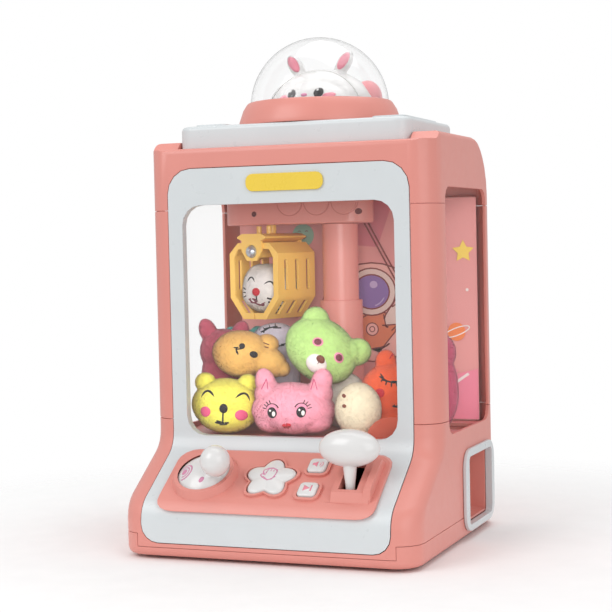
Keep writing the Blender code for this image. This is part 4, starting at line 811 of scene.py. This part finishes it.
for sign in (-1, 1):
    eye = rabbit["face"] + sign * rabbit["eye"][0]
    cheek = rabbit["face"] + sign * rabbit["cheek"][0]
    facePatch((eye, rabbit["eye"][1]), (3.6, 3.7), 0, 0.5, "ink", 0.8)
    facePatch((eye - 0.9, rabbit["eye"][1] + 1.6), (0.9, 0.9), 0, 1.35, "warmWhite", 0.1)
    facePatch((cheek, rabbit["cheek"][1]), (4.6, 2.2), sign * 6, 0.12, "rose", 0.1)
    facePatch((sign * (ears["x"] + 0.8), ears["z"] + 1.6), (3.5, 7.4), -sign * ears["lean"], 0.3, "rose", 0.2)
facePatch((rabbit["face"], rabbit["nose"]), (2.6, 1.2), 0, 0.4, "mauve", 0.5)
lip = [(rabbit["face"], rabbit["nose"] - 1.8), (rabbit["face"], rabbit["nose"] - 4.6)]
look.stroke(rabbitFace, lip, 0.6, 0.3, paints["brown"])
collar = arcPoints((0, rabbit["collar"][0]), rabbit["collar"][1], 10, 170, 60)
look.stroke(rabbitFace, collar, 1.5, 1.0, paints["warmWhite"])
shown("rabbit_look", look.mesh("rabbit_look"), "lid", look.finishes, weighted=False)

backpack = {"place": (36.5, 9, 340), "radii": (11.5, 11, 14)}
pack = smoothBall("rabbit_pack", rabbitFrame @ Vector([c * mm for c in backpack["place"]]), backpack["radii"])
shown("rabbit_pack", pack, "lid", [paints["blush"]], weighted=False)
print("dome made")

cardLow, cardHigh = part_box("backdrop_card")


# flat shapes on the front of the card, each layer a little nearer than the last
class Print:
    def __init__(self, name, gap=0.04):
        self.name = name
        self.gap = gap
        self.layer = 1
        self.drawing = Drawing()

    def shape(self, outline, finish):
        faces = tessellate_polygon([[Vector((x, z, 0)) for x, z in outline]])
        self.laid(outline, [list(f) for f in faces], finish)

    # one flat layer whose faces all look at the front
    def laid(self, outline, faces, finish):
        y = cardLow.y - self.gap * self.layer * mm
        facing = []
        for f in faces:
            a, b, c = (Vector(outline[i]) for i in f[:3])
            facing.append(f if (b - a).cross(c - a) > 0 else f[::-1])
        across = [min(max(middle + x * mm, cardLow.x), cardHigh.x) for x, z in outline]  # kept on the card
        points = [Vector((x, y, z * mm)) for x, (_, z) in zip(across, outline)]
        self.drawing.addFaces(points, facing, finish)
        self.layer += 1

    def line(self, points, width, finish, closed=False):
        outer, inner = [], []
        count = len(points)
        for i, p in enumerate(points):
            a = Vector(points[i - 1] if closed or i else p)
            b = Vector(points[(i + 1) % count] if closed or i < count - 1 else p)
            along = (b - a).normalized()
            side = Vector((-along.y, along.x)) * width / 2
            outer.append(tuple(Vector(p) + side))
            inner.append(tuple(Vector(p) - side))
        spans = count if closed else count - 1
        faces = [[i, (i + 1) % count, count + (i + 1) % count, count + i] for i in range(spans)]
        self.laid(outer + inner, faces, finish)

    def outlined(self, outline, finish, width, ink):
        self.shape(outline, finish)
        self.line(outline, width, ink, closed=True)

    def finish(self):
        mesh = bpy.data.meshes.new(self.name)
        mesh.from_pydata([tuple(v) for v in self.drawing.verts], [], self.drawing.faces)
        mesh.polygons.foreach_set("material_index", self.drawing.slots)
        shown(self.name, mesh, "casing", self.drawing.finishes, weighted=False)


inkColours = {
    "sky": (230, 158, 154), "haze": (240, 182, 172), "visor": (142, 112, 176), "shine": (196, 176, 216),
    "suit": (228, 206, 196), "orange": (224, 130, 92), "line": (134, 62, 56), "mint": (150, 192, 168),
    "star": (246, 214, 96), "hill": (238, 138, 160), "plum": (214, 126, 136), "planet": (240, 134, 74),
    "ice": (240, 226, 222)}
printInks = {name: moulded(name + " print ink", srgb(*colour), 0.55) for name, colour in inkColours.items()}
scenePrint = Print("space_print")


def filled(outline, ink):
    scenePrint.shape(outline, printInks[ink])


def drawn(points, width, ink="line", closed=False):
    scenePrint.line(points, width, printInks[ink], closed)


def framed(outline, ink, width, edge="line"):
    scenePrint.outlined(outline, printInks[ink], width, printInks[edge])


filled([(-104, 83), (104, 83), (104, 262), (-104, 262)], "sky")
filled([(10, 262), (-2, 226), (20, 224), (34, 262)], "plum")
framed(ellipse((14, 170), (45, 41)), "haze", 1.2)

# the round mint face
framed(ellipse((-46, 235), (9.4, 9.4)), "mint", 0.5, "mint")
drawn(arcPoints((-46, 235.5), 3.2, 200, 340, 10), 0.7)
drawn(arcPoints((-49.4, 237.5), 1.3, 20, 160, 6), 0.6)
drawn(arcPoints((-42.6, 237.5), 1.3, 20, 160, 6), 0.6)

# the astronaut: body, arms, badge, helmet and cord
suit = [(-4, 160), (-2, 148), (8, 140), (26, 142), (34, 154), (32, 166), (14, 171)]
raisedArm = [(26, 158), (36, 160), (46, 168), (50, 178), (44, 184), (34, 176), (26, 168)]
loweredArm = [(-6, 154), (-14, 146), (-12, 138), (-4, 138), (2, 146), (2, 154)]
framed(curved(suit, True), "orange", 1.0)
framed(curved(raisedArm, True), "suit", 1.0)
framed(curved(loweredArm, True), "suit", 1.0)
framed(ellipse((14, 156), (5.2, 5.2)), "haze", 0.9)
drawn(ellipse((14, 156), (2.2, 2.2)), 0.8, closed=True)
framed(ellipse((14, 187), (21, 19.5)), "suit", 1.2)
framed(ellipse((14, 187), (15.6, 14.2)), "visor", 1.2)
filled(ellipse((16, 193), (3.4, 3.0)), "shine")
drawn(arcPoints((14, 187), 11.8, 285, 335, 10), 0.9, "shine")
for offset in (0, 3.4):
    drawn([(9 + offset, 244), (42 + offset, 184)], 1.3)

# a star, a ringed planet, two hills and far stars
starPrint = {"x": 93, "z": 219, "radius": 9, "waist": 0.5}
tips = [(starPrint["radius"] * (1 if i % 2 == 0 else starPrint["waist"]), math.radians(90 + 36 * i))
        for i in range(10)]
framed([(starPrint["x"] + r * math.cos(a), starPrint["z"] + r * math.sin(a)) for r, a in tips],
       "star", 0.6, "star")
filled(ellipse((86.5, 154), (7.4, 7.4)), "planet")
drawn(ellipse((86.5, 154), (11.5, 3.0), 20), 0.9, "ice", True)
filled([(40, 83)] + curved([(40, 96), (58, 112), (80, 122), (104, 124)]) + [(104, 83)], "hill")
drawn(curved([(60, 96), (78, 106), (96, 120)]), 2.2, "ice")
filled([(-104, 83), (-104, 120)] + curved([(-104, 120), (-80, 118), (-50, 104), (-30, 90)]) + [(-24, 83)],
       "hill")
for spot in ((-80, 210), (-66, 180), (70, 196), (52, 232), (-20, 200), (96, 188)):
    filled(ellipse(spot, (1.3, 1.3), 0, 10), "ice")
scenePrint.finish()
print("print made")

pileShape = {"density": 5.0, "length": 0.75, "width": 0.32, "comb": 0.1, "ruffle": 0.3, "clear": 0.75}


# short pile as one tapered blade per point, left out under the stitching
def pileOn(mesh, keepOff, seed, settings, slotIndex):
    rng = np.random.default_rng(seed)
    mesh.calc_loop_triangles()
    count = len(mesh.loop_triangles)
    corners = np.empty(count * 3, np.int32)
    mesh.loop_triangles.foreach_get("vertices", corners)
    corners = corners.reshape(-1, 3)
    co, nor = (np.empty(len(mesh.vertices) * 3, np.float32) for k in range(2))
    mesh.vertices.foreach_get("co", co)
    mesh.vertices.foreach_get("normal", nor)
    co, nor = co.reshape(-1, 3), nor.reshape(-1, 3)
    a, b, c = (co[corners[:, k]] for k in range(3))
    area = np.linalg.norm(np.cross(b - a, c - a), axis=1) / 2
    total = int(area.sum() * 1e6 * settings["density"])
    pick = rng.choice(count, total, p=area / area.sum())
    s, t = rng.random((2, total, 1))
    flip = (s + t) > 1
    s, t = np.where(flip, 1 - s, s), np.where(flip, 1 - t, t)
    points = a[pick] + s * (b[pick] - a[pick]) + t * (c[pick] - a[pick])
    na, nb, nc = (nor[corners[pick][:, k]] for k in range(3))
    normals = na + s * (nb - na) + t * (nc - na)
    normals /= np.linalg.norm(normals, axis=1, keepdims=True)
    if len(keepOff):
        clear = np.ones(total, bool)
        spots = np.array(keepOff, np.float32)
        for block in np.array_split(np.arange(total), max(1, total // 4000)):
            gap = ((points[block][:, None, :] - spots[None, :, :]) ** 2).sum(axis=2).min(axis=1)
            clear[block] = gap > (settings["clear"] * mm) ** 2
        points, normals = points[clear], normals[clear]
        total = len(points)
    ruffle = rng.normal(size=(total, 3)) * settings["ruffle"]
    down = np.array([0, 0, -1.0]) * settings["comb"]
    lean = normals + ruffle + down
    lean /= np.linalg.norm(lean, axis=1, keepdims=True)
    side = np.cross(lean, rng.normal(size=(total, 3)))
    side /= np.linalg.norm(side, axis=1, keepdims=True)
    reach = settings["length"] * mm * rng.uniform(0.6, 1.2, (total, 1))
    half = settings["width"] * mm / 2
    root = points - normals * 0.2 * mm
    blades = np.stack([root - side * half, root + side * half, points + lean * reach], axis=1).reshape(-1, 3)
    made = bpy.data.meshes.new("pile")
    made.vertices.add(total * 3)
    made.loops.add(total * 3)
    made.polygons.add(total)
    made.vertices.foreach_set("co", blades.astype(np.float32).ravel())
    made.loops.foreach_set("vertex_index", np.arange(total * 3, dtype=np.int32))
    made.polygons.foreach_set("loop_start", np.arange(0, total * 3, 3, dtype=np.int32))
    made.polygons.foreach_set("material_index", np.full(total, slotIndex, np.int32))
    made.update(calc_edges=True)
    made.validate()
    made.shade_smooth()
    made.normals_split_custom_set_from_vertices(np.repeat(normals, 3, axis=0).astype(np.float32))
    return made


# several meshes with the same material list as one
def joined(name, meshes, finishes):
    objs = [newObject(name, mesh) for mesh in meshes]
    for obj in objs:
        for finish in finishes:
            obj.data.materials.append(finish)
    with bpy.context.temp_override(active_object=objs[0], selected_objects=objs,
                                   selected_editable_objects=objs):
        bpy.ops.object.join()
    mesh = objs[0].data
    bpy.data.objects.remove(objs[0])
    return mesh


# a stuffed toy: blobs and drawing are in its own frame, which looks along -Y before it is turned
def makeToy(node, colour, blobs, face=None, yaw=0.0, roll=0.0, fill=0.8, keep=0.85, voxel=0.8, seed=1):
    low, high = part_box(node)
    matrix = (Matrix.Translation((low + high) / 2) @ Matrix.Rotation(math.radians(yaw), 4, "Z")
              @ Matrix.Rotation(math.radians(roll), 4, "Y"))
    body = blobMesh(node + "_plush", blobs, matrix, voxel, 8)
    lump = Vector((seed * 3.1, seed * 1.7, seed * 5.3))
    co, outward = (np.empty(len(body.vertices) * 3, np.float32) for k in range(2))
    body.vertices.foreach_get("co", co)
    body.vertices.foreach_get("normal", outward)
    swell = []
    for p in co.reshape(-1, 3):
        q = Vector(p) / mm
        swell.append(noise.noise(q * 0.06 + lump) * 0.7 + noise.noise(q * 0.2 + lump) * 0.1)
    body.vertices.foreach_set("co", co + outward * np.repeat(np.array(swell, np.float32), 3) * mm)
    body.update()
    surface = Surface(body, matrix)
    drawing = Drawing()
    drawing.slotOf(pile(node + " pile", srgb(*colour)))
    if face:
        face(drawing, surface)
    features = drawing.mesh(node + "_face")
    blades = pileOn(body, [tuple(v.co) for v in features.vertices], seed, pileShape, 0)
    parts = [body, blades] + ([features] if face else [])
    obj = newObject(node + "_plush", joined(node + "_plush", parts, drawing.finishes))
    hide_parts(node)
    if bodyOf[node] == "casing":
        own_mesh(obj)
    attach(obj, bodyOf[node])


def closedEye(drawing, surface, x, z, width, rise, tilt=0.0, thick=1.5):
    a = math.radians(tilt)
    points = []
    for k in range(13):
        t = -1 + k / 6
        u, v = t * width / 2, rise * (1 - t * t)
        points.append((x + u * math.cos(a) - v * math.sin(a), z + u * math.sin(a) + v * math.cos(a)))
    drawing.stroke(surface, points, thick, 0.9, threads["black"], taper=True)


# a big eye with a lid and lashes that point to the side given
def openEye(drawing, surface, x, z, side, size=0.95):
    def blot(dx, dz, radii, turn, height, finish, crown):
        shape = ellipse((x + dx * size, z + dz * size), [q * size for q in radii], turn)
        drawing.patch(surface, shape, height, threads[finish], crown)

    def onLid(t):
        return x + 5.2 * size * math.cos(t), z + 1.4 * size + 4.9 * size * math.sin(t)

    blot(side * 0.4, 1.8, (4.6, 4.4), 0, 0.6, "lid", 0.1)
    blot(0, -0.6, (3.7, 4.2), -side * 8, 1.0, "black", 0.3)
    blot(1.5, -1.4, (1.3, 1.9), 0, 1.5, "white", 0.1)
    blot(-1.3, 0.9, (0.8, 0.8), 0, 1.5, "white", 0.1)
    lidLine = [onLid(math.radians(20 + 10 * k)) for k in range(15)]
    drawing.stroke(surface, lidLine, 0.9 * size, 0.95, threads["black"])
    for k in range(4):
        base = onLid(math.radians(90 - side * 90 + side * (8 + k * 21)))
        tip = (base[0] + side * 3.0 * size * math.cos(math.radians(8 + 20 * k)),
               base[1] + 2.4 * size * math.sin(math.radians(8 + 22 * k)) + 0.3)
        drawing.stroke(surface, [base, tip], 0.75 * size, 0.85, threads["black"])


def yellowBearFace(d, s):
    closedEye(d, s, -12.6, 5.6, 11, 4.8, 6, 2.0)
    closedEye(d, s, 14.4, 4.8, 11, 4.8, -12, 2.0)
    d.patch(s, ellipse((0.6, -2.0), (3.1, 3.6)), 1.0, threads["black"], 0.8)
    d.stroke(s, [(0.3, -5), (0.2, -12.2)], 1.3, 0.9, threads["black"])
    mouth = curved([(-4.6, -12.0), (-2.4, -13.6), (0.2, -12.8), (2.6, -14.0), (4.8, -12.8)])
    d.stroke(s, mouth, 1.3, 0.9, threads["black"])
    d.patch(s, ellipse((-13.6, -5.2), (3.9, 4.0)), 0.9, threads["pink"], 0.3)
    d.patch(s, ellipse((13.8, -6.8), (4.5, 4.0)), 0.9, threads["pink"], 0.3)


def pinkCatFace(d, s):
    openEye(d, s, -14.6, -4.6, -1)
    openEye(d, s, 7.2, -3.8, 1)
    lips = [(-3.4, 0.5), (-1.6, 1.7), (0, 0.9), (1.6, 1.7), (3.4, 0.4), (1.4, -1.5), (-1.4, -1.5)]
    d.patch(s, [(x - 4.0, z - 15.0) for x, z in curved(lips, True, 3)], 1.0, threads["red"], 0.4)
    for x, tilt in ((-22.0, 0.6), (15.8, -0.6)):
        d.stroke(s, [(x - 2.4, 11.2), (x - 0.2 + tilt, 19.0), (x + 2.6, 11.6)], 0.8, 0.8, threads["rose"])


def greenBearFace(d, s):
    for x, z, turn in ((-9.0, 3.2, 30), (10.8, 3.0, -30)):
        d.patch(s, ellipse((x, z), (4.2, 3.3), turn), 0.8, threads["lid"], 0.1)
        d.patch(s, ellipse((x, z), (2.8, 2.3), turn), 1.1, threads["plum"], 0.3)
    d.patch(s, ellipse((0, -10.6), (8.2, 7.0)), 1.0, threads["white"], 2.2, 6)
    d.patch(s, ellipse((0.4, -5.6), (3.4, 2.5)), 3.0, threads["brown"], 0.6)
    d.stroke(s, [(0.4, -8), (0.2, -12)], 0.9, 3.6, threads["brown"])


def mustardFace(d, s):
    d.patch(s, ellipse((-6.6, 7.2), (2.2, 2.0)), 1.0, threads["black"], 0.4)
    d.stroke(s, curved([(-7.6, 6.6), (-10.2, 4.6), (-13.0, 5.6)]), 1.0, 0.9, threads["black"])
    d.stroke(s, curved([(-10.2, 4.6), (-10.6, 2.4), (-9.2, 0.6)]), 1.0, 0.9, threads["black"])
    d.patch(s, ellipse((2.6, 1.6), (3.0, 2.4), -20), 1.0, threads["black"], 0.4)
    d.stroke(s, [(8.6, 10.6), (13.2, 9.4)], 0.9, 0.8, threads["brown"])
    d.stroke(s, [(9.8, 7.6), (13.0, 6.8)], 0.9, 0.8, threads["brown"])


def creamFace(d, s):
    d.patch(s, ellipse((-9.2, 11.4), (1.3, 1.3)), 0.9, threads["brown"], 0.3)
    d.patch(s, ellipse((-8.8, 4.2), (1.3, 1.3)), 0.9, threads["brown"], 0.3)


def orangeFace(d, s):
    d.stroke(s, curved([(-4.6, 12.6), (-1.2, 9.6), (3.8, 8.2), (8.6, 8.8)]), 1.3, 0.9, threads["black"])
    lashes = (((-3.6, 11.6), (-5.6, 9.0)), ((-1.0, 9.8), (-2.0, 6.6)), ((2.4, 8.6), (2.4, 5.2)),
              ((5.8, 8.4), (6.8, 5.4)), ((-4.6, 12.6), (-6.2, 14.4)))
    for lash in lashes:
        d.stroke(s, lash, 1.1, 0.9, threads["black"])
    d.patch(s, ellipse((-6.2, 0.6), (3.4, 3.4)), 0.9, threads["red"], 0.3)
    d.stroke(s, curved([(4.0, -8.6), (6.4, -10.2), (9.2, -9.6)]), 1.4, 0.9, threads["black"])
    d.stroke(s, curved([(0.4, 25.6), (1.2, 28.4), (2.8, 29.8)]), 0.8, 0.7, threads["red"])


def roseOwlFace(d, s):
    openEye(d, s, -1.0, 20.0, -1)
    openEye(d, s, 18.0, 18.0, 1)


def lambFace(d, s):
    d.stroke(s, curved([(-8.4, 33.4), (-4.0, 36.8), (1.4, 38.0), (6.0, 36.8)]), 1.2, 0.9, threads["black"])
    for lash in (((-6.2, 35.0), (-8.6, 37.2)), ((-2.8, 37.0), (-4.4, 39.8)), ((1.2, 38.0), (0.8, 40.8))):
        d.stroke(s, lash, 0.9, 0.9, threads["black"])
    d.stroke(s, curved([(3.0, 24.0), (7.2, 23.2), (10.4, 24.6)]), 1.0, 0.9, threads["black"])


def clawCatFace(d, s):
    closedEye(d, s, -9.8, 5.6, 7.4, 3.6, 6, 1.25)
    closedEye(d, s, 6.6, 3.4, 9.0, 3.8, -14, 1.35)
    d.patch(s, ellipse((-3.8, -2.0), (3.2, 3.2)), 1.0, threads["red"], 0.9)
    d.stroke(s, [(-3.6, -5.0), (-3.8, -8.6)], 1.1, 0.9, threads["black"])
    mouth = [(-9.8, -7.8), (-8.0, -10.8), (-5.4, -11.2), (-3.8, -8.6), (-2.0, -12.4), (1.6, -12.8),
             (3.4, -10.2)]
    d.stroke(s, curved(mouth), 1.1, 0.9, threads["plum"])
    for whisker in (((5.4, -6.4), (16.8, -8.4)), ((6.0, -9.4), (16.2, -13.0)), ((6.2, -12.2), (13.4, -16.6))):
        d.stroke(s, whisker, 1.5, 0.9, threads["black"])
    for whisker in (((-14.6, -1.0), (-17.6, 0.0)), ((-14.6, -3.6), (-17.6, -3.8)),
                    ((-14.2, -6.2), (-16.8, -7.4))):
        d.stroke(s, whisker, 1.1, 0.8, threads["black"])


# blobs are (centre, radii, lean), and keep is the share of its height that a toy keeps under the crane
toys = {
    "toy_yellow_bear": {
        "colour": (250, 242, 104), "face": yellowBearFace, "yaw": 16, "roll": 3, "keep": 0.86, "seed": 3,
        "blobs": [((0, 0, -1.5), (27, 20.5, 20.5)), ((0, -2, -8), (23, 19, 14.5)),
                  ((-17.5, 1, 15.5), (8, 7, 7.5)), ((16, 1, 15.5), (8, 7, 7.5))]},
    "toy_pink_cat": {
        "colour": (252, 170, 188), "face": pinkCatFace, "yaw": 14, "roll": 1, "keep": 0.84, "seed": 5,
        "blobs": [((-1.5, 0, -5), (32, 21.5, 18.5)), ((-1.5, -1, -1), (28.5, 20, 17)),
                  ((-23, 1, 15), (7.5, 6.5, 11.5), -14), ((20, 1, 15.5), (8, 6.5, 11.5), 14),
                  ((-20, 0, 7), (11, 12, 10)), ((17.5, 0, 7), (11.5, 12, 10)),
                  ((-18, 0, -12), (13, 15, 11)), ((15, 0, -12), (13.5, 15, 11))]},
    "toy_cream_mouse": {
        "colour": (240, 226, 196), "face": creamFace, "yaw": 14, "keep": 0.9, "seed": 7,
        "blobs": [((0, 0, 0), (17.5, 15.5, 20))]},
    "toy_orange_fox": {
        "colour": (247, 104, 58), "face": orangeFace, "yaw": 10, "keep": 0.62, "seed": 9,
        "blobs": [((-1, 0, -2), (23, 17, 24)), ((-4, 1, 23), (8, 6, 9), 10),
                  ((0, 2, -16), (20, 16, 15)), ((14, 1, 20), (7.5, 6, 9), 20)]},
    "toy_mustard_dog": {
        "colour": (242, 192, 108), "face": mustardFace, "yaw": 18, "roll": 6, "keep": 0.62, "seed": 11,
        "blobs": [((-8, 0, 0), (23, 18, 18.5)), ((12, -1, -4.5), (16, 13, 12), 16),
                  ((23, -1, -8), (8, 8, 6.5), 22), ((11, 3, 9), (9, 9, 8))]},
    "toy_green_bear": {
        "colour": (196, 232, 142), "face": greenBearFace, "yaw": 18, "roll": 38, "keep": 0.52, "seed": 13,
        "blobs": [((-3, 0, -2), (29.5, 19.5, 23.5)), ((-20, 2, 13), (10.5, 8, 11.5), -28),
                  ((20, 2, 13.5), (10.5, 8, 11.5), 28), ((-14, 1, 10), (11, 11, 10)),
                  ((14, 1, 10), (11, 11, 10))]},
    "toy_rose_owl": {
        "colour": (196, 92, 112), "face": roseOwlFace, "yaw": 24, "keep": 0.49, "seed": 17,
        "blobs": [((0, 0, -8), (19, 19, 35)), ((0, 0, 18), (19, 18.5, 18)),
                  ((-12, 0, 34), (7, 6, 11), -24), ((13, 0, 32), (7, 6, 10), 24)]},
    "toy_lilac_lamb": {
        "colour": (222, 216, 228), "face": lambFace, "yaw": 20, "keep": 0.49, "seed": 19,
        "blobs": [((0, 0, -8), (20, 18.5, 33)), ((0, 0, 22.8), (20, 18, 17.8))]},
    "toy_teal_bear": {
        "colour": (88, 168, 162), "yaw": 20, "keep": 0.53, "seed": 23,
        "blobs": [((0, 0, -6), (19, 18, 32)), ((0, 0, 20), (17, 16.5, 17)),
                  ((-11, 0, 34), (6, 5, 6)), ((11, 0, 34), (6, 5, 6))]},
    "toy_white_lamb": {
        "colour": (232, 226, 214), "keep": 0.9, "seed": 29, "blobs": [((0, 0, 0), (22, 13.5, 22))]},
    "toy_plum_mouse": {
        "colour": (190, 80, 108), "keep": 0.53, "seed": 31,
        "blobs": [((0, 0, -6), (16, 12, 32)), ((0, 0, 22), (15, 11.5, 15))]},
    "toy_white_cat": {
        "colour": (246, 242, 238), "face": clawCatFace, "yaw": 2, "roll": 5, "voxel": 0.7, "seed": 37,
        "blobs": [((0, -2, 0), (22.2, 21.5, 20.0)), ((-4, -3, -5), (17.5, 18, 14.5)),
                  ((8, -1, 3), (14, 18, 15)), ((-8, -1, 4), (14, 18, 15))]},
}
for node, toy in toys.items():
    makeToy(node, **toy)
print("toys made")

studio = {"floor": (0.95, 0.95, 0.95), "sky": 0.62, "key": 8.0, "fill": 5.4, "rim": 6.0,
          "inside": 9.5, "near": 0.2, "far": 0.48}
bm = bmesh.new()
bmesh.ops.create_grid(bm, x_segments=1, y_segments=1, size=6)
floorMesh = bpy.data.meshes.new("floor")
bm.to_mesh(floorMesh)
bm.free()
paleFloor = moulded("pale floor", studio["floor"], 0.8, 0.0)
tree = paleFloor.node_tree
where = tree.nodes.new("ShaderNodeTexCoord")
reach = tree.nodes.new("ShaderNodeVectorMath")
reach.operation = "LENGTH"
fade = tree.nodes.new("ShaderNodeMapRange")
for label, value in (("From Min", studio["near"]), ("From Max", studio["far"]),
                     ("To Min", 1.0), ("To Max", 0.0)):
    fade.inputs[label].default_value = value
tree.links.new(where.outputs["Object"], reach.inputs[0])
tree.links.new(reach.outputs["Value"], fade.inputs["Value"])
tree.links.new(fade.outputs["Result"], tree.nodes["Principled BSDF"].inputs["Alpha"])
floor = newObject("floor", floorMesh, paleFloor)
floor.location.z = -0.0002

world = bpy.data.worlds.new("studio")
bpy.context.scene.world = world
world.use_nodes = True
tree = world.node_tree
background = tree.nodes["Background"]
seen = tree.nodes.new("ShaderNodeLightPath")
mixRays = tree.nodes.new("ShaderNodeMath")
mixRays.operation = "MAXIMUM"
tree.links.new(seen.outputs["Is Camera Ray"], mixRays.inputs[0])
tree.links.new(seen.outputs["Is Transmission Ray"], mixRays.inputs[1])
level = tree.nodes.new("ShaderNodeMapRange")
level.inputs["To Min"].default_value = studio["sky"]
level.inputs["To Max"].default_value = 1.0
tree.links.new(mixRays.outputs["Value"], level.inputs["Value"])
tree.links.new(level.outputs["Result"], background.inputs["Strength"])
background.inputs["Color"].default_value = (1, 1, 1, 1)


def softbox(name, where, target, size, power):
    lamp = bpy.data.lights.new(name, "AREA")
    lamp.shape = "RECTANGLE"
    lamp.size, lamp.size_y = size
    lamp.energy = power
    obj = bpy.data.objects.new(name, lamp)
    bpy.context.scene.collection.objects.link(obj)
    obj.location = where
    obj.rotation_euler = (Vector(target) - Vector(where)).to_track_quat("-Z", "Y").to_euler()
    return obj


aim = (0, 0, 0.18)
softbox("key light", (-0.7, -1.1, 1.05), aim, (0.9, 0.9), studio["key"])
softbox("fill light", (1.2, -0.9, 0.5), aim, (1.0, 1.2), studio["fill"])
softbox("top light", (0.1, 0.3, 1.4), aim, (1.2, 1.0), studio["rim"])
lamp = softbox("window light", (0.5, -1.1, 0.4), aim, (0.7, 0.5), studio["inside"])
lit = bpy.data.collections.new("lit through the window")
lamp.light_linking.receiver_collection = lit
behindWindow = ("toy_", "space_print", "backdrop_card", "column_", "arm_", "jaw_", "claw_")
for obj in bpy.context.scene.objects:
    if obj.type == "MESH" and obj.name.startswith(behindWindow):
        lit.objects.link(obj)

shot = {"x": 433.7, "y": -1062.3, "z": 230.5, "yaw": 0.3752, "pitch": 0.0449, "roll": -0.0222, "lens": 91.16,
        "rightShift": -0.0009, "upShift": 0.007}
camera = bpy.data.cameras.new("camera")
cameraObject = bpy.data.objects.new("camera", camera)
bpy.context.scene.collection.objects.link(cameraObject)
yaw, pitch, roll = shot["yaw"], shot["pitch"], shot["roll"]
ahead = Vector((-math.sin(yaw) * math.cos(pitch), math.cos(yaw) * math.cos(pitch), -math.sin(pitch)))
right = Vector((math.cos(yaw), math.sin(yaw), 0))
up = right.cross(ahead)
across = right * math.cos(roll) + up * math.sin(roll)
upward = up * math.cos(roll) - right * math.sin(roll)
turn = Matrix((across, upward, -ahead)).transposed().to_4x4()
cameraObject.matrix_world = Matrix.Translation(place(shot["x"], shot["y"], shot["z"])) @ turn
camera.sensor_width = 36
camera.lens = shot["lens"]
camera.shift_x = shot["rightShift"]
camera.shift_y = shot["upShift"]
camera.clip_start = 0.02
bpy.context.scene.camera = cameraObject
bpy.context.scene.view_settings.view_transform = "Standard"
